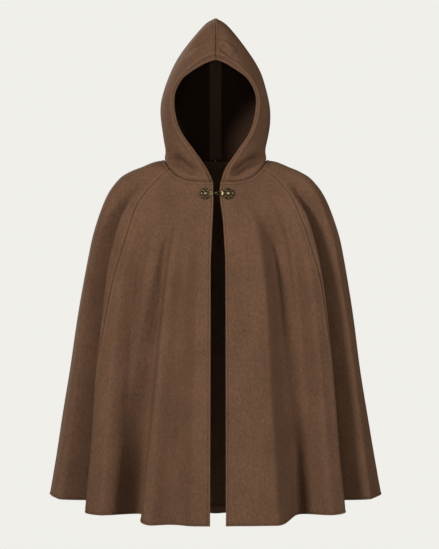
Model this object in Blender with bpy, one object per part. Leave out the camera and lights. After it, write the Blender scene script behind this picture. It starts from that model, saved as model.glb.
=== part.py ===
"""Short hooded wool cape worn over the shoulders, hood up, closed by a brass filigree hook clasp.

Frame: metres, +Z up, the front faces -Y, and +X is the right-hand side as seen from the front.
The origin is the point between the shoulders at neck height, where the cape rests on its wearer.
"""

import math
from collections import namedtuple

import bmesh
import bpy
from mathutils import Matrix, Vector

# Cloth and seams
CLOTH = 0.0018
SEAM_GAP = 0.0003
HEM_TURN_UP = 0.022
HEM_TURN_STEP = 0.0008

# Tapes sewn over the neck seam and the hood's centre back seam, inside
TAPE = 0.0010
NECK_TAPE_HALF_HEIGHT = 0.0085
NECK_TAPE_FROM = 98.0
HOOD_TAPE_WIDTH = 0.027
HOOD_TAPE_LOW = 0.4
HOOD_TAPE_HIGH = 8.8

# Clasp
PLATE = 0.0022
CLASP_CLEARANCE = 0.0016
CLASP_HEIGHT = -0.0478
WIRE = 0.0010
HOOK_WIRE = 0.0008
BEAD = 0.0025
BOSS = 0.0028

# Rings of the body, neck seam first and hem last: half width and height at the side,
# then depth and height at the centre front and at the centre back
Ring = namedtuple("Ring", "half_width side_z front_y front_z back_y back_z")
RINGS = (
    Ring(0.112, 0.026, 0.085, -0.024, 0.080, 0.018),
    Ring(0.135, 0.022, 0.092, -0.043, 0.090, 0.000),
    Ring(0.162, 0.011, 0.101, -0.067, 0.101, -0.027),
    Ring(0.188, 0.000, 0.110, -0.091, 0.112, -0.053),
    Ring(0.214, -0.018, 0.120, -0.118, 0.123, -0.083),
    Ring(0.241, -0.057, 0.133, -0.158, 0.136, -0.128),
    Ring(0.267, -0.130, 0.150, -0.227, 0.153, -0.202),
    Ring(0.281, -0.191, 0.161, -0.283, 0.165, -0.262),
    Ring(0.294, -0.266, 0.173, -0.351, 0.178, -0.336),
    Ring(0.307, -0.348, 0.184, -0.425, 0.190, -0.417),
    Ring(0.320, -0.436, 0.195, -0.505, 0.202, -0.504),
    Ring(0.333, -0.519, 0.204, -0.580, 0.213, -0.586),
    Ring(0.3465, -0.600, 0.212, -0.654, 0.223, -0.667),
    Ring(0.365, -0.7050, 0.222, -0.7595, 0.240, -0.7720),
)
NECK = RINGS[0]
HEM = len(RINGS) - 1.0

# Height of the hem by angle round the body, 0 at the front and 180 at the back
HEM_LINE = (
    (0.0, -0.7595),
    (24.0, -0.7595),
    (29.0, -0.7460),
    (37.0, -0.7420),
    (48.0, -0.7405),
    (52.5, -0.7350),
    (58.5, -0.7190),
    (68.0, -0.7130),
    (90.0, -0.7050),
    (115.0, -0.7220),
    (145.0, -0.7520),
    (180.0, -0.7720),
)

# Folds hanging from the shoulders, as valleys between crests: angle where one starts and at the
# hem, half width in degrees, depth, how far the valley leans towards the front, the ring it
# starts at, and the share of the depth that it reaches soon below. Negative angles are on the left.
Fold = namedtuple("Fold", "start_angle hem_angle reach depth lean start_ring early")
FOLDS = (
    Fold(-15.2, -15.2, 8.0, 0.030, 0.000, 3.4, 0.55),
    Fold(-28.5, -32.2, 7.2, 0.050, 0.012, 3.0, 0.45),
    Fold(-40.5, -33.8, 9.5, 0.048, -0.010, 3.6, 0.45),
    Fold(-69.5, -59.0, 9.5, 0.076, 0.002, 2.2, 0.45),
    Fold(-107.0, -102.0, 13.5, 0.056, 0.010, 3.4, 0.30),
    Fold(-135.0, -132.0, 12.5, 0.050, 0.006, 4.0, 0.30),
    Fold(-163.0, -160.0, 11.0, 0.044, 0.000, 4.6, 0.30),
    Fold(31.5, 30.0, 9.0, 0.056, -0.010, 2.8, 0.68),
    Fold(42.0, 35.5, 8.5, 0.048, -0.010, 3.0, 0.45),
    Fold(67.5, 59.0, 9.5, 0.080, 0.002, 2.2, 0.50),
    Fold(104.0, 100.0, 12.5, 0.052, 0.010, 3.4, 0.30),
    Fold(131.0, 128.0, 13.0, 0.054, 0.006, 4.2, 0.30),
    Fold(158.0, 155.0, 11.5, 0.046, 0.000, 4.4, 0.30),
)
VALLEY_ROUNDING = 0.30

# Front edges, by height: sideways place of the left and of the right edge
FRONT_EDGES = (
    (-0.024, -0.0055, 0.0120),
    (-0.040, -0.0045, 0.0085),
    (-0.062, -0.0040, 0.0095),
    (-0.106, -0.0060, 0.0160),
    (-0.195, -0.0100, 0.0215),
    (-0.755, -0.0110, 0.0225),
)

# Shoulder seams seen from the front: distance from the middle and height
LEFT_SEAM = (
    (0.1045, 0.004),
    (0.131, -0.022),
    (0.153, -0.046),
    (0.1727, -0.079),
    (0.188, -0.123),
    (0.2057, -0.178),
    (0.223, -0.238),
)
RIGHT_SEAM = (
    (0.1045, 0.004),
    (0.126, -0.009),
    (0.150, -0.033),
    (0.1676, -0.059),
    (0.185, -0.099),
    (0.2004, -0.139),
    (0.2156, -0.189),
    (0.2277, -0.231),
)
SEAM_HEM_ANGLE = 58.5
BACK_SEAM_NECK_ANGLE = 122.0
BACK_SEAM_HEM_ANGLE = 121.0

# Levels of the hood, neck seam first and ridge seam last: sideways place of the left and right
# edge of the face opening with the edge's depth and height, half width with its depth and height
# at the side, and depth and height at the centre back
Level = namedtuple("Level", "left right edge_y edge_z half_width side_y side_z back_y back_z")
LEVELS = (
    Level(0.0055, 0.0120, -0.0848, -0.024, 0.112, 0.000, 0.026, 0.080, 0.018),
    Level(0.018, 0.021, -0.085, 0.004, 0.110, -0.001, 0.047, 0.093, 0.054),
    Level(0.046, 0.048, -0.081, 0.044, 0.115, 0.001, 0.075, 0.106, 0.098),
    Level(0.074, 0.075, -0.077, 0.084, 0.1195, 0.003, 0.108, 0.114, 0.144),
    Level(0.088, 0.087, -0.075, 0.124, 0.120, 0.004, 0.143, 0.116, 0.190),
    Level(0.0895, 0.088, -0.076, 0.163, 0.113, 0.004, 0.180, 0.109, 0.234),
    Level(0.076, 0.074, -0.081, 0.195, 0.099, 0.002, 0.220, 0.093, 0.272),
    Level(0.055, 0.053, -0.087, 0.218, 0.075, -0.002, 0.257, 0.070, 0.300),
    Level(0.030, 0.029, -0.092, 0.237, 0.044, -0.006, 0.297, 0.043, 0.324),
    Level(0.014, 0.014, -0.094, 0.245, 0.023, -0.009, 0.319, 0.025, 0.335),
    Level(0.0001, 0.0001, -0.095, 0.249, 0.0002, -0.012, 0.333, 0.010, 0.339),
)
RIDGE = len(LEVELS) - 1.0

# Grid sizes
FRONT_COLUMNS = 34
SIDE_COLUMNS = 24
BACK_COLUMNS = 34
HOOD_COLUMNS = 14
RING_STOPS = (0.0, 0.5, 1.0, 2.0, 3.0, 4.0, 5.0, 6.0, 7.2, 8.4, 9.6, 10.8, 12.0)
LEVEL_STOPS = (0.0, 0.5, 1.0, 2.0, 3.0, 4.0, 5.0, 6.0, 7.0, 8.0, 8.6, 9.2, 9.7, 10.0)

WOOL_BROWN = (0.130, 0.070, 0.041)
TAPE_BROWN = (0.085, 0.047, 0.028)
ANTIQUE_BRASS = (0.420, 0.330, 0.150)


def ease(value):
    """Smooth step from 0 to 1."""
    value = min(max(value, 0.0), 1.0)
    return value * value * (3.0 - 2.0 * value)


def spline(before, start, end, after, part):
    """Catmull-Rom value between start and end."""
    curve = 2.0 * start + (end - before) * part
    curve += (2.0 * before - 5.0 * start + 4.0 * end - after) * part ** 2
    curve += (3.0 * (start - end) + after - before) * part ** 3
    return curve / 2.0


def between(rows, place):
    """Row of a table at a fractional place, each column on a smooth curve."""
    last = len(rows) - 1
    place = min(max(place, 0.0), float(last))
    low = min(int(place), last - 1)
    four = [rows[max(low - 1, 0)], rows[low], rows[low + 1], rows[min(low + 2, last)]]
    return type(rows[0])(*[spline(*column, place - low) for column in zip(*four)])


def lookup(table, key, column=1):
    """Column of a table whose first column rises or falls, by straight lines."""
    rising = table[-1][0] > table[0][0]
    for first, second in zip(table, table[1:]):
        inside = key <= second[0] if rising else key >= second[0]
        if inside:
            part = (key - first[0]) / (second[0] - first[0])
            return first[column] + (second[column] - first[column]) * min(max(part, 0.0), 1.0)
    return table[-1][column]


def hem_height(angle):
    """Height of the hem at an angle, with soft corners between the rows of its table."""
    turn = abs((angle + 180.0) % 360.0 - 180.0)
    spread = (-2.0, -1.0, 0.0, 1.0, 2.0)
    return sum(lookup(HEM_LINE, abs(turn + step)) for step in spread) / len(spread)


def ring_point(ring, angle):
    """Point of a ring at an angle: 0 at the front, 90 on the right."""
    turn = math.radians(angle)
    forward = math.cos(turn)
    if forward >= 0.0:
        depth = -ring.front_y * forward
        height = ring.side_z + (ring.front_z - ring.side_z) * ease(forward)
    else:
        depth = -ring.back_y * forward
        height = ring.side_z + (ring.back_z - ring.side_z) * ease(-forward)
    return Vector((ring.half_width * math.sin(turn), depth, height))


def plain_point(angle, place):
    """Point of the body without its folds."""
    point = ring_point(between(RINGS, place), angle)
    drop = hem_height(angle) - ring_point(RINGS[-1], angle).z
    point.z += drop * (place / HEM) ** 3
    return point


def valley(offset):
    """Depth across a fold, 1 in its middle and 0 from offset 1 on, with a rounded bottom."""
    if abs(offset) >= 1.0:
        return 0.0
    away = math.hypot(offset, VALLEY_ROUNDING) - VALLEY_ROUNDING
    away /= math.hypot(1.0, VALLEY_ROUNDING) - VALLEY_ROUNDING
    return (1.0 - away) ** 2 * (1.0 + 0.8 * away)


def body_point(angle, place):
    """Point of the cape's body, folds included."""
    point = plain_point(angle, place)
    ahead = plain_point(angle + 0.5, place) - plain_point(angle - 0.5, place)
    along = Vector((ahead.x, ahead.y, 0.0)).normalized()
    inward = Vector((-along.y, along.x, 0.0))
    for fold in FOLDS:
        grown = (place - fold.start_ring) / (HEM - fold.start_ring)
        if grown <= 0.0:
            continue
        middle = fold.start_angle + (fold.hem_angle - fold.start_angle) * grown ** 1.6
        dip = valley(((angle - middle + 180.0) % 360.0 - 180.0) / fold.reach)
        late = 0.35 * ease(grown) + 0.65 * grown
        dip *= fold.early * ease(grown * 3.0) + (1.0 - fold.early) * late
        toward_front = -1.0 if middle > 0.0 else 1.0
        point += inward * fold.depth * dip + along * toward_front * fold.lean * dip
    return point


def hood_angle(side, place, across):
    """Angle on the hood: across runs from 0 at the face opening to 1 at the centre back."""
    level = between(LEVELS, place)
    edge = level.left if side < 0 else level.right
    first = math.degrees(math.asin(min(max(edge / level.half_width, 0.0), 0.95)))
    return first + (180.0 - first) * across


def hood_point(side, place, angle):
    """Point of one half of the hood, side -1 for left and 1 for right."""
    level = between(LEVELS, place)
    edge = level.left if side < 0 else level.right
    start = math.cos(math.asin(min(max(edge / level.half_width, 0.0), 0.95)))
    turn = math.radians(angle)
    forward = math.cos(turn)
    if forward >= 0.0:
        depth = level.side_y + (level.edge_y - level.side_y) * forward / start
        rise = ease(forward) / ease(start)
        height = level.side_z + (level.edge_z - level.side_z) * rise
    else:
        depth = level.side_y - (level.back_y - level.side_y) * forward
        height = level.side_z + (level.back_z - level.side_z) * ease(-forward)
    return Vector((side * level.half_width * math.sin(turn), depth, height))


def neck_edge(angle):
    """Point of the body's top edge, on the straight pieces of the hood's lower edge."""
    turn = angle % 360.0
    side = 1 if turn < 180.0 else -1
    turn = min(turn, 360.0 - turn)
    first = hood_angle(side, 0.0, 0.0)
    place = min(max((turn - first) / (180.0 - first) * HOOD_COLUMNS, 0.0), HOOD_COLUMNS - 0.001)
    column = int(place)
    ends = [hood_point(side, 0.0, hood_angle(side, 0.0, end / HOOD_COLUMNS))
            for end in (column, column + 1)]
    return ends[0].lerp(ends[1], place - column)


def outward(point_at, first, second, steps, limits):
    """Unit normal of a surface at two parameters, from points a small step away."""
    low = [max(value - step, limit[0]) for value, step, limit in
           zip((first, second), steps, limits)]
    high = [min(value + step, limit[1]) for value, step, limit in
            zip((first, second), steps, limits)]
    one = point_at(high[0], second) - point_at(low[0], second)
    two = point_at(first, high[1]) - point_at(first, low[1])
    return one.cross(two).normalized()


def cell_triangles(grid, row, column):
    """Rows and columns of a cell's two triangles, which its shorter diagonal parts."""
    corners = [(row, column), (row, column + 1), (row + 1, column + 1), (row + 1, column)]
    falling = (grid[row][column] - grid[row + 1][column + 1]).length
    rising = (grid[row][column + 1] - grid[row + 1][column]).length
    if falling > rising:
        corners = corners[1:] + corners[:1]
    first, second, third, fourth = corners
    return (first, second, third), (first, third, fourth)


def closed_wall(name, outer, inner, material):
    """Closed sheet from two grids of points with the same rows and columns."""
    mesh = bmesh.new()
    rows = len(outer)
    columns = len(outer[0])
    front = [[mesh.verts.new(point) for point in row] for row in outer]
    back = [[mesh.verts.new(point) for point in row] for row in inner]
    for row in range(rows - 1):
        for column in range(columns - 1):
            for triangle in cell_triangles(outer, row, column):
                mesh.faces.new([front[place][across] for place, across in triangle])
                mesh.faces.new([back[place][across] for place, across in triangle[::-1]])
    for column in range(columns - 1):
        mesh.faces.new((front[0][column + 1], front[0][column],
                        back[0][column], back[0][column + 1]))
        mesh.faces.new((front[-1][column], front[-1][column + 1],
                        back[-1][column + 1], back[-1][column]))
    for row in range(rows - 1):
        mesh.faces.new((front[row][0], front[row + 1][0], back[row + 1][0]))
        mesh.faces.new((front[row][0], back[row + 1][0], back[row][0]))
        mesh.faces.new((front[row + 1][-1], front[row][-1], back[row + 1][-1]))
        mesh.faces.new((front[row][-1], back[row][-1], back[row + 1][-1]))
    if mesh.calc_volume(signed=True) < 0.0:
        bmesh.ops.reverse_faces(mesh, faces=mesh.faces)
    return finished(name, mesh, material)


def finished(name, mesh, material):
    """Object made from a bmesh, shaded smooth with sharp corners."""
    data = bpy.data.meshes.new(name)
    mesh.to_mesh(data)
    mesh.free()
    data.materials.append(material)
    data.shade_smooth()
    data.set_sharp_from_angle(angle=math.radians(50.0))
    piece = bpy.data.objects.new(name, data)
    bpy.context.scene.collection.objects.link(piece)
    return piece


def even_columns(edge_from, edge_to, count, place):
    """Places across a panel so that its columns are even along the folded ring and its bends."""
    fine = 400
    start = edge_from(place)
    width = edge_to(place) - start
    trail = [body_point(start + width * index / fine, place) for index in range(fine + 1)]
    cost = [0.0]
    bend_cost = 0.030
    for index in range(1, fine):
        back = trail[index] - trail[index - 1]
        ahead = trail[index + 1] - trail[index]
        cost.append(cost[-1] + back.length + bend_cost * back.angle(ahead))
    cost.append(cost[-1] + (trail[fine] - trail[fine - 1]).length)
    places = []
    index = 0
    for column in range(count + 1):
        wanted = cost[-1] * column / count
        while index < fine - 1 and cost[index + 1] < wanted:
            index += 1
        part = (wanted - cost[index]) / (cost[index + 1] - cost[index])
        places.append((index + min(part, 1.0)) / fine)
    return places


def edge_angle(place, column):
    """Angle of a front edge from its measured sideways place."""
    ring = between(RINGS, place)
    sideways = lookup(FRONT_EDGES, ring.front_z, column)
    return math.degrees(math.asin(sideways / ring.half_width))


def seam_place(across, height):
    """Angle and ring where the unfolded body is seen at a front-view place."""
    angle, place = 50.0, 3.0
    for _ in range(40):
        here = plain_point(angle, place)
        by_angle = (plain_point(angle + 0.1, place) - here) / 0.1
        by_place = (plain_point(angle, place + 0.01) - here) / 0.01
        miss_x, miss_z = across - here.x, height - here.z
        scale = by_angle.x * by_place.z - by_place.x * by_angle.z
        step_angle = (miss_x * by_place.z - by_place.x * miss_z) / scale
        step_place = (by_angle.x * miss_z - miss_x * by_angle.z) / scale
        angle = min(max(angle + min(max(step_angle, -5.0), 5.0), 20.0), 89.0)
        place = min(max(place + min(max(step_place, -0.5), 0.5), 0.0), HEM)
    return angle, place


def front_seam(points):
    """Table of ring places and angles of a shoulder seam, down to the hem."""
    table = [(place, angle) for angle, place in (seam_place(*point) for point in points)]
    table[0] = (0.0, table[0][1])
    return tuple(table) + ((8.6, 54.5), (HEM, SEAM_HEM_ANGLE))


def seam_angle(table, place):
    """Angle of a shoulder seam at a ring, its table's corners softened."""
    spread = (-0.4, -0.2, 0.0, 0.2, 0.4)
    return sum(lookup(table, min(max(place + step, 0.0), HEM)) for step in spread) / len(spread)


def half_gap(angle, place):
    """Angle that half of a seam's gap takes up on the folded body."""
    span = (body_point(angle + 0.1, place) - body_point(angle - 0.1, place)).length
    return SEAM_GAP / 2.0 * 0.2 / span


def back_seam(place):
    """Angle of the back shoulder seams."""
    return BACK_SEAM_NECK_ANGLE + (BACK_SEAM_HEM_ANGLE - BACK_SEAM_NECK_ANGLE) * place / HEM


def body_panel(name, edge_from, edge_to, columns, material):
    """Panel of the body between two seams, with its hem turned up inside."""
    limits = ((-400.0, 400.0), (0.0, HEM))
    last_ring = (body_point(0.0, HEM) - body_point(0.0, HEM - 1.0)).length
    turn = HEM - HEM_TURN_UP / last_ring
    step = HEM_TURN_STEP / last_ring
    stops = [(stop, 1) for stop in RING_STOPS] + [(turn - step, 1), (turn, 2), (HEM, 2)]
    outer, inner = [], []
    for place, layers in stops:
        across = even_columns(edge_from, edge_to, columns, place)
        start, end = edge_from(place), edge_to(place)
        start += half_gap(start, place)
        end -= half_gap(end, place)
        outer_row, inner_row = [], []
        for part in across:
            angle = start + (end - start) * part
            point = body_point(angle, place)
            facing = outward(body_point, angle, place, (0.4, 0.04), limits)
            facing = -facing
            if place == 0.0:
                point = neck_edge(angle) - Vector((0.0, 0.0, SEAM_GAP / 2.0))
            outer_row.append(point)
            inner_row.append(point - facing * CLOTH * layers)
        outer.append(outer_row)
        inner.append(inner_row)
    return closed_wall(name, outer, inner, material)


def hood_grids(side):
    """Outer and inner points of one half of the hood, a row for each level."""
    outer, inner = [], []
    limits = ((0.0, 180.0), (0.0, RIDGE - 0.02))

    def point_at(angle, place):
        return hood_point(side, place, angle)

    for place in LEVEL_STOPS:
        outer_row, inner_row = [], []
        near = min(place, RIDGE - 0.02)
        for column in range(HOOD_COLUMNS + 1):
            part = column / HOOD_COLUMNS
            point = point_at(hood_angle(side, place, part), place)
            angle = hood_angle(side, near, part)
            facing = outward(point_at, angle, near, (0.8, 0.03), limits) * side
            if column == HOOD_COLUMNS or place == RIDGE:
                point.x = side * SEAM_GAP / 2.0
                level_facing = Vector((0.0, facing.y, facing.z))
                inside = point - level_facing * CLOTH / level_facing.length_squared
            else:
                inside = point - facing * CLOTH
            if place == 0.0:
                lift = Vector((0.0, 0.0, SEAM_GAP / 2.0))
                point = point + lift
                inside = inside + lift
            outer_row.append(point)
            inner_row.append(inside)
        outer.append(outer_row)
        inner.append(inner_row)
    return outer, inner


def walked(points, distance):
    """Point at a distance along a run of straight pieces."""
    for first, second in zip(points, points[1:]):
        length = (second - first).length
        if distance <= length:
            return first.lerp(second, distance / length)
        distance -= length
    return points[-1].copy()


def neck_tape(material):
    """Tape inside the back of the neck, over the seam between hood and body."""
    walls = []
    for side in (-1, 1):
        outer, inner = hood_grids(side)
        for column in range(HOOD_COLUMNS + 1):
            if hood_angle(side, 0.0, column / HOOD_COLUMNS) < NECK_TAPE_FROM:
                continue
            if column == HOOD_COLUMNS and side > 0:
                continue
            foot, above = inner[0][column], inner[1][column]
            facing = outer[0][column] - foot
            facing.z = 0.0
            turn = math.atan2(foot.x, foot.y)
            walls.append((turn, foot, (above - foot).normalized(), facing.normalized()))
    walls.sort(key=lambda wall: wall[0])
    outer, inner = [], []
    for lift in (NECK_TAPE_HALF_HEIGHT, 0.0, -NECK_TAPE_HALF_HEIGHT):
        outer_row, inner_row = [], []
        for _, foot, rise, facing in walls:
            point = foot + rise * lift if lift > 0.0 else foot + Vector((0.0, 0.0, lift))
            outer_row.append(point - facing * SEAM_GAP * 1.5)
            inner_row.append(point - facing * (SEAM_GAP * 1.5 + TAPE))
        outer.append(outer_row)
        inner.append(inner_row)
    return closed_wall("neck_tape", outer, inner, material)


def hood_tape(material):
    """Tape inside over the hood's centre back seam, parallel to the two halves."""
    grids = {side: hood_grids(side) for side in (-1, 1)}
    outer, inner = [], []
    for row, place in enumerate(LEVEL_STOPS):
        if not HOOD_TAPE_LOW <= place <= HOOD_TAPE_HIGH:
            continue
        outer_row, inner_row = [], []
        for side, distance in ((-1, HOOD_TAPE_WIDTH / 2.0), (1, 0.0), (1, HOOD_TAPE_WIDTH / 2.0)):
            wall = [walked(grid[row][::-1], distance) for grid in grids[side]]
            facing = (wall[0] - wall[1]).normalized()
            if distance == 0.0:
                wall[1].x = 0.0
            outer_row.append(wall[1] - facing * SEAM_GAP)
            inner_row.append(wall[1] - facing * (SEAM_GAP + TAPE))
        outer.append(outer_row)
        inner.append(inner_row)
    return closed_wall("hood_seam_tape", outer, inner, material)


def tube(path, radius, sides, loop):
    """Mesh of a round wire along a path, a loop or with closed ends."""
    mesh = bmesh.new()
    count = len(path)
    rings = []
    for index, point in enumerate(path):
        before = path[(index - 1) % count] if loop else path[max(index - 1, 0)]
        after = path[(index + 1) % count] if loop else path[min(index + 1, count - 1)]
        along = (after - before).normalized()
        level = along.cross(Vector((0.0, 0.0, 1.0)))
        if level.length < 0.2:
            level = along.cross(Vector((0.0, 1.0, 0.0)))
        level.normalize()
        rise = level.cross(along)
        ring = []
        for side in range(sides):
            turn = 2.0 * math.pi * side / sides
            ring.append(mesh.verts.new(point + (level * math.cos(turn) + rise * math.sin(turn)) * radius))
        rings.append(ring)
    pairs = list(zip(rings, rings[1:])) + ([(rings[-1], rings[0])] if loop else [])
    for first, second in pairs:
        for side in range(sides):
            following = (side + 1) % sides
            mesh.faces.new((first[side], first[following], second[following], second[side]))
    if not loop:
        mesh.faces.new(rings[0])
        mesh.faces.new(rings[-1])
    bmesh.ops.recalc_face_normals(mesh, faces=mesh.faces)
    return mesh


def filigree_plate(half_width, half_height, lobes, holes):
    """Pierced plate with a scalloped rim, standing in the XZ plane."""
    mesh = bmesh.new()
    rim_points = 40
    loops = []
    outline = []
    for index in range(rim_points):
        turn = 2.0 * math.pi * index / rim_points
        reach = 1.0 - 0.11 * (0.5 - 0.5 * math.cos(lobes * turn))
        outline.append((half_width * reach * math.cos(turn), half_height * reach * math.sin(turn)))
    loops.append(outline)
    for centre_x, centre_z, radius_x, radius_z in holes:
        hole = []
        for index in range(10):
            turn = 2.0 * math.pi * index / 10
            hole.append((centre_x + radius_x * math.cos(turn), centre_z + radius_z * math.sin(turn)))
        loops.append(hole)
    for loop in loops:
        points = [mesh.verts.new((across, 0.0, up)) for across, up in loop]
        for first, second in zip(points, points[1:] + points[:1]):
            mesh.edges.new((first, second))
    bmesh.ops.triangle_fill(mesh, edges=mesh.edges, use_beauty=True)
    grown = bmesh.ops.extrude_face_region(mesh, geom=mesh.faces[:])
    moved = [item for item in grown["geom"] if isinstance(item, bmesh.types.BMVert)]
    bmesh.ops.translate(mesh, verts=moved, vec=(0.0, -PLATE, 0.0))
    bmesh.ops.recalc_face_normals(mesh, faces=mesh.faces)
    return mesh


def ball(centre, radius):
    """Small round bead."""
    mesh = bmesh.new()
    bmesh.ops.create_icosphere(mesh, subdivisions=2, radius=radius,
                               matrix=Matrix.Translation(centre))
    return mesh


def joined(name, meshes, placed, material):
    """One closed body from overlapping meshes, moved to its place."""
    pieces = [finished(name + "_%02d" % index, mesh, material) for index, mesh in enumerate(meshes)]
    body = pieces[0]
    for tool in pieces[1:]:
        union = body.modifiers.new("join", "BOOLEAN")
        union.operation = "UNION"
        union.solver = "EXACT"
        union.object = tool
    bpy.context.view_layer.update()
    shape = bpy.data.meshes.new_from_object(body.evaluated_get(bpy.context.evaluated_depsgraph_get()))
    for piece in pieces:
        bpy.data.objects.remove(piece)
    mesh = bmesh.new()
    mesh.from_mesh(shape)
    bmesh.ops.remove_doubles(mesh, verts=mesh.verts, dist=0.00004)
    bmesh.ops.triangulate(mesh, faces=mesh.faces)
    mesh.transform(placed)
    result = finished(name, mesh, material)
    return result


def clasp_frame(across):
    """Place on the fronts under the clasp: turned to lie flat on the cloth, just off it."""
    place = 0.5
    for _ in range(30):
        place += (plain_point(0.0, place).z - CLASP_HEIGHT) * 12.0
    angle = math.degrees(math.asin(across / between(RINGS, place).half_width))
    limits = ((-90.0, 90.0), (0.0, HEM))
    point = body_point(angle, place)
    facing = -outward(body_point, angle, place, (0.4, 0.04), limits)
    level = Vector((0.0, 0.0, 1.0)).cross(-facing).normalized()
    level = -level if level.x < 0.0 else level
    upward = (-facing).cross(level)
    upward = -upward if upward.z < 0.0 else upward
    turned = Matrix((level, -facing, upward)).transposed().to_4x4()
    return Matrix.Translation(point + facing * CLASP_CLEARANCE) @ turned


def clasp_half(name, side, material):
    """Half of the clasp: pierced plate, beads, and the hook on the left or the eye on the right."""
    if side < 0:
        middle = -0.0215
        half_width, half_height = 0.0108, 0.0130
        holes = ((-0.0042, 0.0052, 0.0024, 0.0030), (0.0036, 0.0052, 0.0022, 0.0028),
                 (-0.0042, -0.0052, 0.0024, 0.0030), (0.0036, -0.0052, 0.0022, 0.0028))
        beads = ((0.0114, 0.0027), (0.0114, -0.0027), (0.0152, 0.0000))
    else:
        middle = 0.0275
        half_width, half_height = 0.0128, 0.0128
        holes = ((-0.0050, 0.0050, 0.0024, 0.0028), (0.0032, 0.0050, 0.0022, 0.0028),
                 (-0.0050, -0.0050, 0.0024, 0.0028), (0.0032, -0.0050, 0.0022, 0.0028))
        beads = ((-0.0136, 0.0029), (-0.0136, -0.0029), (-0.0112, 0.0000))
    meshes = [filigree_plate(half_width, half_height, 8, holes)]
    meshes.append(ball((0.0, -PLATE, 0.0), BOSS))
    for bead_x, bead_z in beads:
        meshes.append(ball((bead_x, -PLATE / 2.0, bead_z), BEAD))
    if side < 0:
        run = ((0.0160, -0.0012), (0.0185, -0.0008), (0.0205, 0.0014), (0.0250, 0.0014),
               (0.0264, 0.0000), (0.0266, -0.0024), (0.0252, -0.0042), (0.0222, -0.0044))
        path = [Vector((across, depth, 0.0)) for across, depth in run]
        meshes.append(tube(path, HOOK_WIRE, 8, False))
    else:
        path = []
        for index in range(20):
            turn = 2.0 * math.pi * index / 20
            path.append(Vector((-0.0208 + 0.0062 * math.cos(turn), -PLATE / 2.0,
                                0.0040 * math.sin(turn))))
        meshes.append(tube(path, WIRE, 8, True))
    return joined(name, meshes, clasp_frame(middle), material)


def coloured(name, colour, roughness, metallic):
    """Principled material with one colour."""
    material = bpy.data.materials.new(name)
    material.use_nodes = True
    shader = material.node_tree.nodes["Principled BSDF"]
    shader.inputs["Base Color"].default_value = (*colour, 1.0)
    shader.inputs["Roughness"].default_value = roughness
    shader.inputs["Metallic"].default_value = metallic
    material.diffuse_color = (*colour, 1.0)
    return material


def build_cape():
    """All pieces of the cape."""
    left_seam = front_seam(LEFT_SEAM)
    right_seam = front_seam(RIGHT_SEAM)
    panels = (
        ("front_left", lambda place: -seam_angle(left_seam, place),
         lambda place: edge_angle(place, 1), FRONT_COLUMNS),
        ("front_right", lambda place: edge_angle(place, 2),
         lambda place: seam_angle(right_seam, place), FRONT_COLUMNS),
        ("side_left", lambda place: -back_seam(place),
         lambda place: -seam_angle(left_seam, place), SIDE_COLUMNS),
        ("side_right", lambda place: seam_angle(right_seam, place),
         back_seam, SIDE_COLUMNS),
        ("back", back_seam, lambda place: 360.0 - back_seam(place), BACK_COLUMNS),
    )
    for name, edge_from, edge_to, columns in panels:
        wool = coloured(name + "_wool", WOOL_BROWN, 0.95, 0.0)
        body_panel(name, edge_from, edge_to, columns, wool)
    closed_wall("hood_left", *hood_grids(-1), coloured("hood_left_wool", WOOL_BROWN, 0.95, 0.0))
    closed_wall("hood_right", *hood_grids(1), coloured("hood_right_wool", WOOL_BROWN, 0.95, 0.0))
    neck_tape(coloured("neck_tape_twill", TAPE_BROWN, 0.85, 0.0))
    hood_tape(coloured("hood_tape_twill", TAPE_BROWN, 0.85, 0.0))
    clasp_half("clasp_hook", -1, coloured("hook_brass", ANTIQUE_BRASS, 0.38, 1.0))
    clasp_half("clasp_eye", 1, coloured("eye_brass", ANTIQUE_BRASS, 0.38, 1.0))


for leftover in list(bpy.data.objects):
    bpy.data.objects.remove(leftover)
build_cape()
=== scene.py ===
"""Finish of a short hooded wool cape, worn and hollow, closed at the neck by a brass filigree clasp.

Frame: metres, +Z up, the front faces -Y, and +X is the right-hand side as seen from the front.
The cloth is laid over the same rings, folds and hood levels as its solids, with a finer mesh that
holds the seams, stitching, rolled edges and creases.
"""

import logging
import math
from dataclasses import astuple, dataclass, field
from enum import Enum
from typing import Callable

import bmesh
import bpy
import numpy as np
from mathutils import Matrix, Vector


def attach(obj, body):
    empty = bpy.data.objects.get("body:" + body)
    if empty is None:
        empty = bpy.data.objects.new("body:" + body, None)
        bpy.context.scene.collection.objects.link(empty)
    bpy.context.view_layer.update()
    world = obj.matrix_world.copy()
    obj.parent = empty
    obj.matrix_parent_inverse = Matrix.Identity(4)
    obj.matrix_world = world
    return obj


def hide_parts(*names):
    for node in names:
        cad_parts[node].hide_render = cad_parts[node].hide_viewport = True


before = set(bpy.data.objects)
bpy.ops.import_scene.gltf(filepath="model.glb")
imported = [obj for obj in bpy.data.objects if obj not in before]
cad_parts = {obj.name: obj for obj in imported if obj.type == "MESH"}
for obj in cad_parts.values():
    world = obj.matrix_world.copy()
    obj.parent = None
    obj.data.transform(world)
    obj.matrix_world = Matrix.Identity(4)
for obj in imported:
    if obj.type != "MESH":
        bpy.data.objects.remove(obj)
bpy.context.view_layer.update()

LOG = logging.getLogger("cape")
BODY = "root"
Array = np.ndarray
Colour = tuple[float, float, float]
Edge = Callable[[Array], Array]
Socket = bpy.types.NodeSocket

CLOTH = 0.0018
SEAM_GAP = 0.00012
GRID_STEP = 0.0062
HEM_TURN_UP = 0.022
# Height above which the curl of the hood's rim turns down too, over what rise, and by what share of it
CURL_TURNS_DOWN, CURL_TURN_RISE, CURL_FALL = 0.195, 0.05, 0.95
# How steeply that curl grows towards the edge
CURL_POWER = 1.4
# Share of the cloth's thickness that each face loses on a folded edge
EDGE_ROUND = 0.46
# Reach of the rubbed nap on a folded edge, in metres
RUBBED_EDGE = 0.0016
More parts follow.
